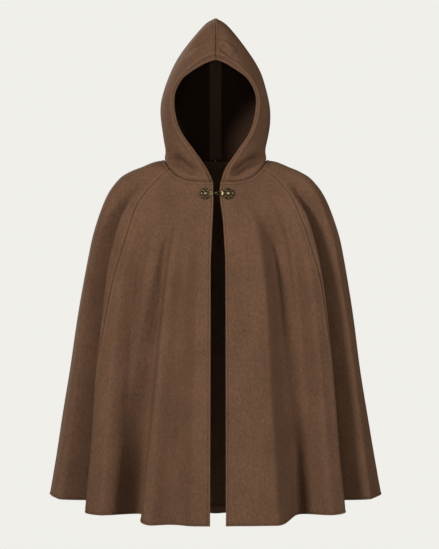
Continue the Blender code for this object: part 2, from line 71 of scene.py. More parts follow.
# How much wider the painted shade of a cleft and of a stitched dent is than its relief, and how dark the
# painted shade in the dent is
CLEFT_SHADE_SPREAD, DENT_SPREAD, STITCH_SHADE = 1.3, 1.2, 0.8


class Side(Enum):
    """Side of the cape as seen from the front."""

    LEFT = -1
    RIGHT = 1


@dataclass(frozen=True)
class Ring:
    """Ring of the body: half width and height at the side, depth and height in front and behind."""

    half_width: float
    side_z: float
    front_y: float
    front_z: float
    back_y: float
    back_z: float


@dataclass(frozen=True)
class Fold:
    """Valley that hangs from the shoulder, in degrees and metres, negative angles on the left."""

    start_angle: float
    hem_angle: float
    reach: float
    depth: float
    lean: float
    start_ring: float
    early: float


@dataclass(frozen=True)
class Level:
    """Level of the hood: places of the opening's edges, then its side and its centre back."""

    left: float
    right: float
    edge_y: float
    edge_z: float
    half_width: float
    side_y: float
    side_z: float
    back_y: float
    back_z: float


RINGS = (
    Ring(0.112, 0.026, 0.085, -0.024, 0.080, 0.018),
    Ring(0.135, 0.022, 0.092, -0.043, 0.090, 0.000),
    Ring(0.162, 0.011, 0.101, -0.067, 0.101, -0.027),
    Ring(0.188, 0.000, 0.110, -0.091, 0.112, -0.053),
    Ring(0.214, -0.018, 0.120, -0.118, 0.123, -0.083),
    Ring(0.241, -0.057, 0.133, -0.158, 0.136, -0.128),
    Ring(0.267, -0.130, 0.150, -0.227, 0.153, -0.202),
    Ring(0.281, -0.191, 0.161, -0.283, 0.165, -0.262),
    Ring(0.294, -0.266, 0.173, -0.351, 0.178, -0.336),
    Ring(0.307, -0.348, 0.184, -0.425, 0.190, -0.417),
    Ring(0.320, -0.436, 0.195, -0.505, 0.202, -0.504),
    Ring(0.333, -0.519, 0.204, -0.580, 0.213, -0.586),
    Ring(0.3465, -0.600, 0.212, -0.654, 0.223, -0.667),
    Ring(0.365, -0.7050, 0.222, -0.7595, 0.240, -0.7720),
)
HEM = len(RINGS) - 1.0

# Height of the hem by angle round the body, 0 at the front and 180 at the back
HEM_LINE = (
    (0.0, -0.7595), (24.0, -0.7595), (29.0, -0.7460), (37.0, -0.7420), (48.0, -0.7405), (52.5, -0.7350),
    (58.5, -0.7190), (68.0, -0.7130), (90.0, -0.7050), (115.0, -0.7220), (145.0, -0.7520), (180.0, -0.7720),
)

FOLDS = (
    Fold(-15.2, -15.2, 8.0, 0.030, 0.000, 3.4, 0.55),
    Fold(-28.5, -32.2, 7.2, 0.050, 0.012, 3.0, 0.45),
    Fold(-40.5, -33.8, 9.5, 0.048, -0.010, 3.6, 0.45),
    Fold(-69.5, -59.0, 9.5, 0.076, 0.002, 2.2, 0.45),
    Fold(-107.0, -102.0, 13.5, 0.056, 0.010, 3.4, 0.30),
    Fold(-135.0, -132.0, 12.5, 0.050, 0.006, 4.0, 0.30),
    Fold(-163.0, -160.0, 11.0, 0.044, 0.000, 4.6, 0.30),
    Fold(31.5, 30.0, 9.0, 0.056, -0.010, 2.8, 0.68),
    Fold(42.0, 35.5, 8.5, 0.048, -0.010, 3.0, 0.45),
    Fold(67.5, 59.0, 9.5, 0.080, 0.002, 2.2, 0.50),
    Fold(104.0, 100.0, 12.5, 0.052, 0.010, 3.4, 0.30),
    Fold(131.0, 128.0, 13.0, 0.054, 0.006, 4.2, 0.30),
    Fold(158.0, 155.0, 11.5, 0.046, 0.000, 4.4, 0.30),
)

# Front edges by height: sideways place of the left and of the right edge
FRONT_EDGES = (
    (-0.755, -0.0110, 0.0225), (-0.195, -0.0100, 0.0215), (-0.106, -0.0060, 0.0160),
    (-0.062, -0.0040, 0.0095), (-0.040, -0.0045, 0.0085), (-0.024, -0.0055, 0.0120),
)

# Shoulder seams seen from the front: distance from the middle and height
SHOULDER_SEAMS = {
    Side.LEFT: (
        (0.1045, 0.004), (0.131, -0.022), (0.153, -0.046), (0.1727, -0.079), (0.188, -0.123),
        (0.2057, -0.178), (0.223, -0.238),
    ),
    Side.RIGHT: (
        (0.1045, 0.004), (0.126, -0.009), (0.150, -0.033), (0.1676, -0.059), (0.185, -0.099),
        (0.2004, -0.139), (0.2156, -0.189), (0.2277, -0.231),
    ),
}
SEAM_LOW_END = ((8.6, 54.5), (HEM, 58.5))
BACK_SEAM_NECK_ANGLE = 122.0
BACK_SEAM_HEM_ANGLE = 121.0

LEVELS = (
    Level(0.0055, 0.0120, -0.0848, -0.024, 0.112, 0.000, 0.026, 0.080, 0.018),
    Level(0.018, 0.021, -0.085, 0.004, 0.110, -0.001, 0.047, 0.093, 0.054),
    Level(0.046, 0.048, -0.081, 0.044, 0.115, 0.001, 0.075, 0.106, 0.098),
    Level(0.074, 0.075, -0.077, 0.084, 0.1195, 0.003, 0.108, 0.114, 0.144),
    Level(0.088, 0.087, -0.075, 0.124, 0.120, 0.004, 0.143, 0.116, 0.190),
    Level(0.0895, 0.088, -0.076, 0.163, 0.113, 0.004, 0.180, 0.109, 0.234),
    Level(0.076, 0.074, -0.081, 0.195, 0.099, 0.002, 0.220, 0.093, 0.272),
    Level(0.055, 0.053, -0.087, 0.218, 0.075, -0.002, 0.257, 0.070, 0.300),
    Level(0.030, 0.029, -0.092, 0.237, 0.044, -0.006, 0.297, 0.043, 0.324),
    Level(0.014, 0.014, -0.094, 0.245, 0.023, -0.009, 0.319, 0.025, 0.335),
    Level(0.0001, 0.0001, -0.095, 0.249, 0.0002, -0.012, 0.333, 0.010, 0.339),
)
RIDGE = len(LEVELS) - 1.0


def smooth_step(value: Array) -> Array:
    """Smooth rise from 0 to 1."""
    value = np.clip(value, 0.0, 1.0)
    return value * value * (3.0 - 2.0 * value)


def bump(distance: Array, middle: float, width: float) -> Array:
    """Bell of height 1 round a distance."""
    return np.exp(-(((distance - middle) / width) ** 2))


def valley(offset: Array) -> Array:
    """Depth across a fold, 1 in its middle and 0 from offset 1 on.

    Args:
        offset: Distances from the fold's middle, as shares of its reach.

    Returns:
        The depths.
    """
    rounding, fullness = 0.30, 0.8
    away = np.sqrt(np.minimum(offset**2, 1.0) + rounding**2) - rounding
    away = away / (math.hypot(1.0, rounding) - rounding)
    return (1.0 - away) ** 2 * (1.0 + fullness * away)


def half_turn(angle: Array) -> Array:
    """Angles brought to the range from -180 to 180 degrees."""
    return (angle + 180.0) % 360.0 - 180.0


def matched(angle: Array, place: Array) -> list[Array]:
    """Angles and places as arrays of one shape."""
    return np.broadcast_arrays(np.asarray(angle, float), np.asarray(place, float))


def normalised(vectors: Array) -> Array:
    """Vectors at unit length."""
    return vectors / np.maximum(np.linalg.norm(vectors, axis=-1, keepdims=True), 1e-12)


def walked(lines: Array) -> Array:
    """Distance from its start at each point of a line, or of each line in a grid."""
    steps = np.linalg.norm(np.diff(lines, axis=-2), axis=-1)
    return np.concatenate((np.zeros((*steps.shape[:-1], 1)), np.cumsum(steps, -1)), -1)


def table_curve(rows: tuple, place: Array) -> Array:
    """Rows of a table at fractional places, each column on a smooth curve.

    Args:
        rows: Dataclass rows of one kind.
        place: Places along the table, 0 at its first row.

    Returns:
        An array with one more axis than place, for the columns.
    """
    table = np.array([astuple(row) for row in rows])
    last = len(table) - 1
    place = np.clip(place, 0.0, float(last))
    low = np.minimum(place.astype(int), last - 1)
    part = (place - low)[..., None]
    before, start, end = table[np.maximum(low - 1, 0)], table[low], table[low + 1]
    after = table[np.minimum(low + 2, last)]
    curve = 2.0 * start + (end - before) * part
    curve += (2.0 * before - 5.0 * start + 4.0 * end - after) * part**2
    curve += (3.0 * (start - end) + after - before) * part**3
    return curve / 2.0


def soft_lookup(keys: Array, values: Array, wanted: Array, spread: float) -> Array:
    """Straight-line lookup with its corners softened.

    Args:
        keys: Rising keys of the table.
        values: Value at each key.
        wanted: Keys to look up.
        spread: Half of the stretch that each value is averaged over.

    Returns:
        The looked-up values, shaped like wanted.
    """
    steps = np.linspace(-spread, spread, 5)
    return sum(np.interp(wanted + step, keys, values) for step in steps) / len(steps)


@dataclass(frozen=True)
class Crease:
    """Soft trough, or ridge where its depth is below 0, along a path seen from in front.

    Attributes:
        path: Points across and up, in metres.
        half_width: Distance from the path at which the crease has mostly gone.
        depth: Depth of the trough in metres.
        fade: Share of the path over which each end fades.
    """

    path: tuple[tuple[float, float], ...]
    half_width: float
    depth: float
    fade: float = 0.3

    def sunk(self, points: Array, facing: Array) -> Array:
        """How far each point of the cloth sinks.

        Args:
            points: Points of the cloth.
            facing: Outward direction at each point.

        Returns:
            Depths in metres.
        """
        corners = np.array(self.path)
        far = walked(corners)
        flat = points[..., (0, 2)]
        nearest, place = np.full(flat.shape[:-1], np.inf), np.zeros(flat.shape[:-1])
        for start, end, low, high in zip(corners, corners[1:], far, far[1:]):
            run = end - start
            part = np.clip((flat - start) @ run / (high - low) ** 2, 0.0, 1.0)
            away = np.linalg.norm(flat - start - part[..., None] * run, axis=-1)
            place = np.where(away < nearest, (low + part * (high - low)) / far[-1], place)
            nearest = np.minimum(away, nearest)
        taper = smooth_step(place / self.fade) * smooth_step((1.0 - place) / self.fade)
        seen = smooth_step(-facing[..., 1] * 4.0)
        return self.depth * bump(nearest, 0.0, self.half_width) * taper * seen


@dataclass(frozen=True)
class EdgeShape:
    """Cross-section of the cloth beside one of its edges, in metres from the edge.

    Attributes:
        roll: Radius of a folded edge, 0 at a seam.
        cleft: Depth of the outer face at a seam.
        cleft_reach: Distance over which the cleft fades.
        ridge: Height of the padded strip beside the edge.
        ridge_at: Distance of the strip's middle from the edge.
        ridge_width: Half width of the strip.
        stitch_at: Distance of the topstitching from the edge, 0 for none.
        dent: Depth to which the topstitching pulls the cloth in.
        dent_width: Half width of that dent.
        turned: Width of the layer turned in behind the edge.
        curl: Distance that the edge curls back, along +Y.
        curl_reach: Distance over which it curls.
        wear_and_light: How strongly the edge tones the nap: paler on the strip, partly rubbed wear and
            partly painted highlight, and darker beside it in the cleft and the stitched dent, which is
            painted shade.
    """

    roll: float = 0.0
    cleft: float = 0.0
    cleft_reach: float = 0.0012
    ridge: float = 0.0
    ridge_at: float = 0.003
    ridge_width: float = 0.0015
    stitch_at: float = 0.0
    dent: float = 0.0
    dent_width: float = 0.0011
    turned: float = 0.0
    curl: float = 0.0
    curl_reach: float = 0.012
    wear_and_light: float = 0.0

    def rounding(self, distance: Array) -> Array:
        """Depth of a face below its flat height on the folded edge's round."""
        part = 1.0 - np.clip(distance / max(self.roll, 1e-9), 0.0, 1.0)
        return CLOTH * EDGE_ROUND * (1.0 - np.sqrt(1.0 - part**2)) * (self.roll > 0.0)

    def outer(self, distance: Array) -> Array:
        """Height of the outer face over the plain cloth.

        Args:
            distance: Distances from the edge.

        Returns:
            Heights in metres.
        """
        height = self.ridge * bump(distance, self.ridge_at, self.ridge_width)
        height -= self.cleft * bump(distance, 0.0, self.cleft_reach)
        height -= self.dent * bump(distance, self.stitch_at, self.dent_width)
        return height - self.rounding(distance)

    def inner(self, distance: Array) -> Array:
        """Depth of the inner face below the plain wall's inner face."""
        step = CLOTH * smooth_step((self.turned - distance) / 0.0008 + 0.5) * (self.turned > 0.0)
        return step - self.rounding(distance)

    def wear_and_painted_light(self, distance: Array) -> Array:
        """How much paler or darker the nap is by the edge, from -1 to 1: paler on the padded strip from
        rubbed wear and painted highlight, paler on a folded edge from rubbed wear, and darker in the cleft
        and the stitched dent from painted shade.

        Args:
            distance: Distances from the edge.

        Returns:
            Tones, below 0 where painted shade darkens them.
        """
        # Paler strip on the raised ridge: partly rubbed wear, partly painted highlight
        pale = bump(distance, self.ridge_at, self.ridge_width)
        if self.roll:
            pale = np.maximum(pale, bump(distance, 0.0, RUBBED_EDGE))
        # Painted shade: darker nap in the seam's cleft and in the stitched dent
        dark = bump(distance, 0.0, self.cleft_reach * CLEFT_SHADE_SPREAD) * (self.cleft > 0.0)
        if self.stitch_at:
            dark = dark + STITCH_SHADE * bump(distance, self.stitch_at, self.dent_width * DENT_SPREAD)
        return self.wear_and_light * (pale - dark)

    def curled(self, distance: Array) -> Array:
        """Distance that the cloth has curled back."""
        return self.curl * np.clip(1.0 - distance / self.curl_reach, 0.0, 1.0) ** CURL_POWER

    def stops(self) -> Array:
        """Distances from the edge at which the mesh has a line.

        Returns:
            The distances, rising from 0.
        """
        stops = [0.0, 0.00025, 0.0006, 0.0011, 0.0018, 0.0027, 0.0038, 0.0050]
        if self.stitch_at:
            stops = [stop for stop in stops if abs(stop - self.stitch_at) > 0.0016]
            around = (-1.0, -0.5, 0.0, 0.5, 1.0, 1.8)
            stops += [self.stitch_at + step * self.dent_width * DENT_SPREAD for step in around]
        far = max(stops)
        reach = max(self.ridge_at + self.ridge_width * 2.0, self.curl_reach if self.curl else 0.0)
        while far < reach:
            far += 0.0018
            stops.append(far)
        if self.turned:
            stops += [0.0115, 0.016, self.turned - 0.0008, self.turned, self.turned + 0.0008]
        return np.array(sorted(stops))


class Border(Enum):
    """Kinds of edge that a cloth piece has."""

    SEAM = EdgeShape(
        cleft=0.0013, cleft_reach=0.0018, ridge=0.0008, ridge_at=0.0044, ridge_width=0.0024, wear_and_light=0.55
    )
    NECK_BELOW = EdgeShape(
        cleft=0.0007, cleft_reach=0.0024, ridge=0.0010, ridge_at=0.0044, ridge_width=0.0024,
        stitch_at=0.0078, dent=0.0008, wear_and_light=0.6,
    )
    NECK_ABOVE = EdgeShape(
        cleft=0.0008, cleft_reach=0.0030, ridge=0.0008, ridge_at=0.0064, ridge_width=0.0028, wear_and_light=0.3
    )
    FRONT_EDGE = EdgeShape(
        roll=0.0010, ridge=0.0009, ridge_at=0.0022, ridge_width=0.0017, stitch_at=0.0048, dent=0.0009,
        wear_and_light=0.7,
    )
    HEM = EdgeShape(
        roll=0.0010, ridge=0.0009, ridge_at=0.0026, ridge_width=0.0019, stitch_at=0.0058, dent=0.0009,
        turned=HEM_TURN_UP, wear_and_light=0.6,
    )
    RIM = EdgeShape(
        roll=0.0011, ridge=0.0013, ridge_at=0.0102, ridge_width=0.0028, stitch_at=0.0066, dent=0.0012,
        dent_width=0.0018, curl=0.0085, curl_reach=0.0115, wear_and_light=1.0,
    )
    HOOD_SEAM = EdgeShape(
        cleft=0.0013, cleft_reach=0.0013, ridge=0.00055, ridge_at=0.0035, ridge_width=0.0019,
        stitch_at=0.0068, dent=0.0004, wear_and_light=0.5,
    )


@dataclass(frozen=True)
class BodySurface:
    """Outer face of the body, from the neck seam at place 0 to the hem.

    Attributes:
        ripples: Height, waves round the body, climb and phase of each slight unevenness.
        swing_power: How late a fold swings from its start to its place in the hem.
        late_ease: Share of a fold's late growth that eases in and out.
    """

    ripples: tuple[tuple[float, float, float, float], ...] = (
        (0.00075, 11.0, 0.9, 0.4), (0.00060, 17.0, -0.7, 2.1), (0.00045, 27.0, 0.5, 4.4),
        (0.00035, 41.0, -0.4, 1.3), (0.00040, 6.0, 2.3, 0.8),
    )
    swing_power: float = 1.6
    late_ease: float = 0.35

    def hem_height(self, angle: Array) -> Array:
        """Height of the hem at an angle.

        Args:
            angle: Degrees round the body, 0 at the front and 90 on the right.

        Returns:
            Heights in metres.
        """
        turn = np.abs(half_turn(angle))
        keys, heights = np.array(HEM_LINE).T
        steps = (-2.0, -1.0, 0.0, 1.0, 2.0)
        return sum(np.interp(np.abs(turn + step), keys, heights) for step in steps) / len(steps)

    def ring_at(self, angle: Array, place: Array) -> Array:
        """Point of a ring, before the hem's line is cut.

        Args:
            angle: Degrees round the body, 0 at the front and 90 on the right.
            place: Ring place.

        Returns:
            Points in metres.
        """
        width, side_z, front_y, front_z, back_y, back_z = np.moveaxis(table_curve(RINGS, place), -1, 0)
        forward = np.cos(np.radians(angle))
        ahead = forward >= 0.0
        height = side_z + (np.where(ahead, front_z, back_z) - side_z) * smooth_step(np.abs(forward))
        depth = -np.where(ahead, front_y, back_y) * forward
        return np.stack((width * np.sin(np.radians(angle)), depth, height), -1)

    def plain(self, angle: Array, place: Array) -> Array:
        """Point of the body without its folds.

        Args:
            angle: Degrees round the body, 0 at the front and 90 on the right.
            place: Ring place.

        Returns:
            Points in metres.
        """
        angle, place = matched(angle, place)
        point = self.ring_at(angle, place)
        drop = self.hem_height(angle) - self.ring_at(angle, np.full(angle.shape, HEM))[..., 2]
        point[..., 2] += drop * (place / HEM) ** 3
        return point

    def point(self, angle: Array, place: Array) -> Array:
        """Point of the outer face, with its folds and the slight unevenness of hanging cloth.

        Args:
            angle: Degrees round the body, 0 at the front and 90 on the right.
            place: Ring place from 0 at the neck to HEM.

        Returns:
            Points in metres.
        """
        angle, place = matched(angle, place)
        point = self.plain(angle, place)
        ahead = self.plain(angle + 0.5, place) - self.plain(angle - 0.5, place)
        ahead[..., 2] = 0.0
        along = normalised(ahead)
        inward = np.stack((-along[..., 1], along[..., 0], np.zeros_like(angle)), -1)
        for fold in FOLDS:
            grown = np.clip((place - fold.start_ring) / (HEM - fold.start_ring), 0.0, None)
            swing = fold.hem_angle - fold.start_angle
            middle = fold.start_angle + swing * grown**self.swing_power
            late = self.late_ease * smooth_step(grown) + (1.0 - self.late_ease) * grown
            dip = valley(half_turn(angle - middle) / fold.reach)
            dip = dip * (fold.early * smooth_step(grown * 3.0) + (1.0 - fold.early) * late)
            lean = np.where(middle > 0.0, -1.0, 1.0) * fold.lean * dip
            point = point + inward * (fold.depth * dip)[..., None] + along * lean[..., None]
        ripple = np.zeros_like(angle)
        for height, waves, climb, phase in self.ripples:
            ripple += height * np.sin(np.radians(angle) * waves + place * climb + phase)
        ripple *= smooth_step((place - 0.6) / 3.0)
        return point + inward * ripple[..., None]

    def facing(self, angle: Array, place: Array) -> Array:
        """Outward direction of the cloth.

        Args:
            angle: Degrees round the body, 0 at the front and 90 on the right.
            place: Ring place.

        Returns:
            Directions at unit length.
        """
        above, below = np.maximum(place - 0.04, 0.0), np.minimum(place + 0.04, HEM)
        across = self.point(angle + 0.3, place) - self.point(angle - 0.3, place)
        return -normalised(np.cross(across, self.point(angle, below) - self.point(angle, above)))

    def front_edge(self, side: Side) -> Edge:
        """Angle of a front edge by place.

        Args:
            side: Front that it belongs to.

        Returns:
            The edge.
        """
        heights, left, right = np.array(FRONT_EDGES).T
        sideways = left if side is Side.LEFT else right

        def angle_at(place: Array) -> Array:
            """Angle of the edge at a place."""
            ring = table_curve(RINGS, place)
            return np.degrees(np.arcsin(soft_lookup(heights, sideways, ring[..., 3], 0.009) / ring[..., 0]))

        return angle_at

    def shoulder_seam(self, side: Side) -> Edge:
        """Angle of a shoulder seam by place, above 0, found from where it is seen in front.

        Args:
            side: Side that it is on.

        Returns:
            The seam's edge.
        """
        across, height = np.array(SHOULDER_SEAMS[side]).T
        angle, place = np.full(across.shape, 50.0), np.full(across.shape, 3.0)
        for _ in range(40):
            here = self.plain(angle, place)
            by_angle = (self.plain(angle + 0.1, place) - here) / 0.1
            by_place = (self.plain(angle, place + 0.01) - here) / 0.01
            miss_x, miss_z = across - here[:, 0], height - here[:, 2]
            scale = by_angle[:, 0] * by_place[:, 2] - by_place[:, 0] * by_angle[:, 2]
            step_angle = (miss_x * by_place[:, 2] - by_place[:, 0] * miss_z) / scale
            step_place = (by_angle[:, 0] * miss_z - miss_x * by_angle[:, 2]) / scale
            angle = np.clip(angle + np.clip(step_angle, -5.0, 5.0), 20.0, 89.0)
            place = np.clip(place + np.clip(step_place, -0.5, 0.5), 0.0, HEM)
        place[0] = 0.0
        low_places, low_angles = np.array(SEAM_LOW_END).T
        keys, angles = np.append(place, low_places), np.append(angle, low_angles)
        return lambda wanted: soft_lookup(keys, angles, np.clip(wanted, 0.0, HEM), 0.4)

    def back_seam(self, place: Array) -> Array:
        """Angle of the right back seam."""
        return BACK_SEAM_NECK_ANGLE + (BACK_SEAM_HEM_ANGLE - BACK_SEAM_NECK_ANGLE) * place / HEM


@dataclass(frozen=True)
class HoodSurface:
    """Outer face of half of the hood, from the neck seam at place 0 to the ridge."""

    side: Side

    def opening(self, place: Array) -> Array:
        """Angle of the face opening's edge.

        Args:
            place: Level place.

        Returns:
            Degrees from straight ahead.
        """
        level = table_curve(LEVELS, place)
        edge = level[..., 0 if self.side is Side.LEFT else 1]
        return np.degrees(np.arcsin(np.clip(edge / level[..., 4], 0.0, 0.95)))

    def centre_back(self, place: Array) -> Array:
        """Angle of the seam where the halves meet behind."""
        return np.full(np.shape(place), 180.0)

    def plain(self, angle: Array, place: Array) -> Array:
        """The same point, because the hood has no folds."""
        return self.point(angle, place)

    def point(self, angle: Array, place: Array) -> Array:
        """Point of the hood's outer face.

        Args:
            angle: Degrees from straight ahead to 180 at the back.
            place: Level place from 0 at the neck seam to RIDGE.

        Returns:
            Points in metres.
        """
        angle, place = matched(angle, place)
        level = np.moveaxis(table_curve(LEVELS, place), -1, 0)
        _, _, edge_y, edge_z, width, side_y, side_z, back_y, back_z = level
        start, turn = np.cos(np.radians(self.opening(place))), np.radians(angle)
        forward = np.cos(turn)
        ahead = forward >= 0.0
        depth_ahead = side_y + (edge_y - side_y) * forward / start
        depth = np.where(ahead, depth_ahead, side_y - (back_y - side_y) * forward)
        rise_ahead = (edge_z - side_z) * smooth_step(forward) / smooth_step(start)
        rise = np.where(ahead, rise_ahead, (back_z - side_z) * smooth_step(-forward))
        wave = 0.0007 * np.sin(turn * 5.0 + place * 1.7 + self.side.value)
        wave += 0.0005 * np.sin(turn * 9.0 - place * 1.1 + 2.0 * self.side.value)
        wave *= smooth_step(place / 1.5) * smooth_step((RIDGE - place) / 2.0) * np.sin(turn) ** 2
        return np.stack((self.side.value * (width * np.sin(turn) + wave), depth, side_z + rise), -1)

    def facing(self, angle: Array, place: Array) -> Array:
        """Outward direction of the hood.

        Args:
            angle: Degrees from straight ahead to 180 at the back.
            place: Level place.

        Returns:
            Directions at unit length.
        """
        place = np.minimum(place, RIDGE - 0.02)
        before, after = np.clip(angle - 0.6, 0.0, 180.0), np.clip(angle + 0.6, 0.0, 180.0)
        below, above = np.maximum(place - 0.03, 0.0), np.minimum(place + 0.03, RIDGE - 0.02)
        across = self.point(after, place) - self.point(before, place)
        up = self.point(angle, above) - self.point(angle, below)
        return normalised(np.cross(across, up)) * self.side.value


@dataclass
class Grid:
    """Points of a cloth piece and what its edges do there.

    Attributes:
        points: Outer face before its edges are shaped.
        facing: Outward direction at each point.
        away: Distance from the edge of the first and last column and of the first and last row.
    """

    points: Array
    facing: Array
    away: tuple[Array, Array, Array, Array]


def band_distances(first: Array, last: Array, length: Array, count: int) -> Array:
    """Distances along a line that are close together near both of its ends.

    Args:
        first: Distances from the start, rising from 0.
        last: Distances from the end, rising from 0.
        length: Length of each line, any shape.
        count: Number of even steps between the two bands.

    Returns:
        The distances, on a new last axis.
    """
    length = np.asarray(length, float)[..., None]
    squeeze = np.minimum(1.0, 0.48 * length / max(first[-1], last[-1]))
    near, far = first * squeeze, length - last[::-1] * squeeze
    middle = np.linspace(0.0, 1.0, count + 1)[1:-1]
    between = near[..., -1:] + (far[..., :1] - near[..., -1:]) * middle
    return np.concatenate((near, between, far), -1)


def turns(count: int) -> Array:
    """Angles of even places round a circle."""
    return 2.0 * np.pi * np.arange(count) / count


@dataclass
class MeshParts:
    """Points and faces gathered for one mesh."""

    points: list[Array] = field(default_factory=list)
    faces: list[Array] = field(default_factory=list)
    finishes: list[Array] = field(default_factory=list)
    count: int = 0

    def add(self, points: Array, faces: Array, finish: Array | int = 0) -> None:
        """Adds a shape.

        Args:
            points: Its points, one a row.
            faces: Its faces as rows of point numbers, all of one length.
            finish: Number of the finish of each face, or of all of them.
        """
        self.points.append(points.reshape(-1, 3))
        self.faces.append(faces + self.count)
        self.finishes.append(np.broadcast_to(finish, len(faces)))
        self.count += len(self.points[-1])

    def placed(self, matrix: Matrix) -> "MeshParts":
        """The same shapes, moved by a matrix.

        Args:
            matrix: Where they go.

        Returns:
            The moved shapes.
        """
        turn = np.array(matrix)
        moved = [points @ turn[:3, :3].T + turn[:3, 3] for points in self.points]
        return MeshParts(moved, self.faces, self.finishes, self.count)

    def piece(
        self, name: str, materials: list[bpy.types.Material], wear_and_painted_light: Array | None = None
    ) -> bpy.types.Object:
        """Object with all the shapes.

        Args:
            name: Name of the piece.
            materials: Its finishes, in the order of their numbers.
            wear_and_painted_light: Tone of the nap at each of the first points, if anywhere: paler for
                rubbed wear and painted highlight, darker for painted shade.

        Returns:
            The object, smooth-shaded and linked to the scene.
        """
        points = np.concatenate(self.points).astype(np.float32)
        sizes = np.concatenate([np.full(len(faces), faces.shape[1]) for faces in self.faces])
        corners = np.concatenate([faces.ravel() for faces in self.faces]).astype(np.int32)
        starts = np.concatenate(([0], np.cumsum(sizes)[:-1])).astype(np.int32)
        data = bpy.data.meshes.new(name)
        data.vertices.add(len(points))
        data.vertices.foreach_set("co", points.ravel())
        data.loops.add(len(corners))
        data.polygons.add(len(sizes))
        data.polygons.foreach_set("loop_start", starts)
        data.polygons.foreach_set("vertices", corners)
        data.polygons.foreach_set("material_index", np.concatenate(self.finishes).astype(np.int32))
        for material in materials:
            data.materials.append(material)
        data.update(calc_edges=True)
        data.shade_smooth()
        if wear_and_painted_light is not None:
            values = np.zeros(len(points), np.float32)
            values[: wear_and_painted_light.size] = wear_and_painted_light.ravel()
            data.attributes.new("wear_and_painted_light", "FLOAT", "POINT").data.foreach_set("value", values)
        return linked(bpy.data.objects.new(name, data))


def linked(thing: bpy.types.Object) -> bpy.types.Object:
    """The object, put into the scene."""
    bpy.context.scene.collection.objects.link(thing)
    return thing


def wall(outer: Array, inner: Array, inner_finish: Array) -> MeshParts:
    """Closed sheet between two grids of points.

    Args:
        outer: Points of the outer face, by row and column.
        inner: Points of the inner face.
        inner_finish: Finish number of each inner square.

    Returns:
        The sheet, facing outwards.
    """
    rows, columns = outer.shape[:2]
    index = np.arange(rows * columns).reshape(rows, columns)
    squares = np.stack((index[:-1, :-1], index[:-1, 1:], index[1:, 1:], index[1:, :-1]), -1)
    squares = squares.reshape(-1, 4)
    loop = np.concatenate((index[0], index[1:, -1], index[-1, -2::-1], index[-2:0:-1, 0]))
    after = np.roll(loop, -1)
    edge = np.stack((after, loop, loop + index.size, after + index.size), -1)
    faces = np.concatenate((squares, squares[:, ::-1] + index.size, edge))
    finish = np.concatenate((np.zeros(len(squares), int), inner_finish.ravel(), np.zeros(len(edge), int)))
    points = np.concatenate((outer.reshape(-1, 3), inner.reshape(-1, 3)))
    corners = points[faces]
    normal = np.cross(corners[:, 1] - corners[:, 0], corners[:, 2] - corners[:, 0])
    normal += np.cross(corners[:, 2] - corners[:, 0], corners[:, 3] - corners[:, 0])
    if (corners.mean(1) * normal).sum() < 0.0:
        faces = faces[:, ::-1]
    parts = MeshParts()
    parts.add(points, faces, finish)
    return parts


@dataclass(frozen=True)
class Thread:
    """Sewing thread and the size of its stitches.

    Attributes:
        pitch: Distance between stitches.
        length: Length of a stitch.
        radius: Half of its thickness.
        sides: Number of flats round it.
        profile: Place along it, width and lift of each ring, as shares of its length and radius.
    """

    pitch: float = 0.0038
    length: float = 0.0029
    radius: float = 0.00030
    sides: int = 6
    profile: tuple[tuple[float, float, float], ...] = (
        (-0.5, 0.25, -1.3), (-0.40, 0.85, -0.35), (-0.2, 1.0, 0.35),
        (0.2, 1.0, 0.35), (0.40, 0.85, -0.35), (0.5, 0.25, -1.3),
    )

    def stitch(self, parts: MeshParts, path: Array, facing: Array) -> None:
        """Adds a row of stitches along a path on the cloth.

        Args:
            parts: Mesh that takes them.
            path: Points on the cloth.
            facing: Outward direction at each point.
        """
        far = walked(path)
        count = max(int(far[-1] / self.pitch), 1)
        wanted = (np.arange(count) + 0.5) * far[-1] / count
        start = np.clip(np.searchsorted(far, wanted) - 1, 0, len(far) - 2)
        part = ((wanted - far[start]) / np.diff(far)[start])[:, None]
        middle = path[start] * (1.0 - part) + path[start + 1] * part
        out = normalised(facing[start] * (1.0 - part) + facing[start + 1] * part)
        along = normalised(path[start + 1] - path[start])
        aside = normalised(np.cross(out, along))
        places, widths, lifts = np.array(self.profile).T * [[self.length], [self.radius], [self.radius]]
        turn, widths = turns(self.sides), widths[:, None]
        rings = (
            middle[:, None, None]
            + along[:, None, None] * places[None, :, None, None]
            + out[:, None, None] * (lifts[:, None] + widths * np.sin(turn))[None, ..., None]
            + aside[:, None, None] * (widths * np.cos(turn))[None, ..., None]
        )
        index = np.arange(rings[0, ..., 0].size).reshape(-1, self.sides)
        following = np.roll(index, -1, axis=1)
        squares = np.stack((index[:-1], following[:-1], following[1:], index[1:]), -1).reshape(-1, 4)
        each = np.arange(len(middle))[:, None, None] * index.size
        parts.add(rings, (squares[None] + each).reshape(-1, 4))


def filled(node: bpy.types.Node, inputs: dict[str | int, object]) -> bpy.types.Node:
    """The node, with its inputs set to values or joined to sockets.

    Args:
        node: Node of a material or world.
        inputs: Value or source socket of each input, by its name or number.

    Returns:
        The same node.
    """
    for name, value in inputs.items():
        if isinstance(value, Socket):
            node.id_data.links.new(value, node.inputs[name])
        else:
            node.inputs[name].default_value = value
    return node


def opaque(colour: Colour) -> tuple[float, float, float, float]:
    """Colour with full cover."""
    return (*colour, 1.0)


def shade(colour: Colour, factor: float) -> Colour:
    """Colour made lighter or darker."""
    return tuple(min(part * factor, 1.0) for part in colour)


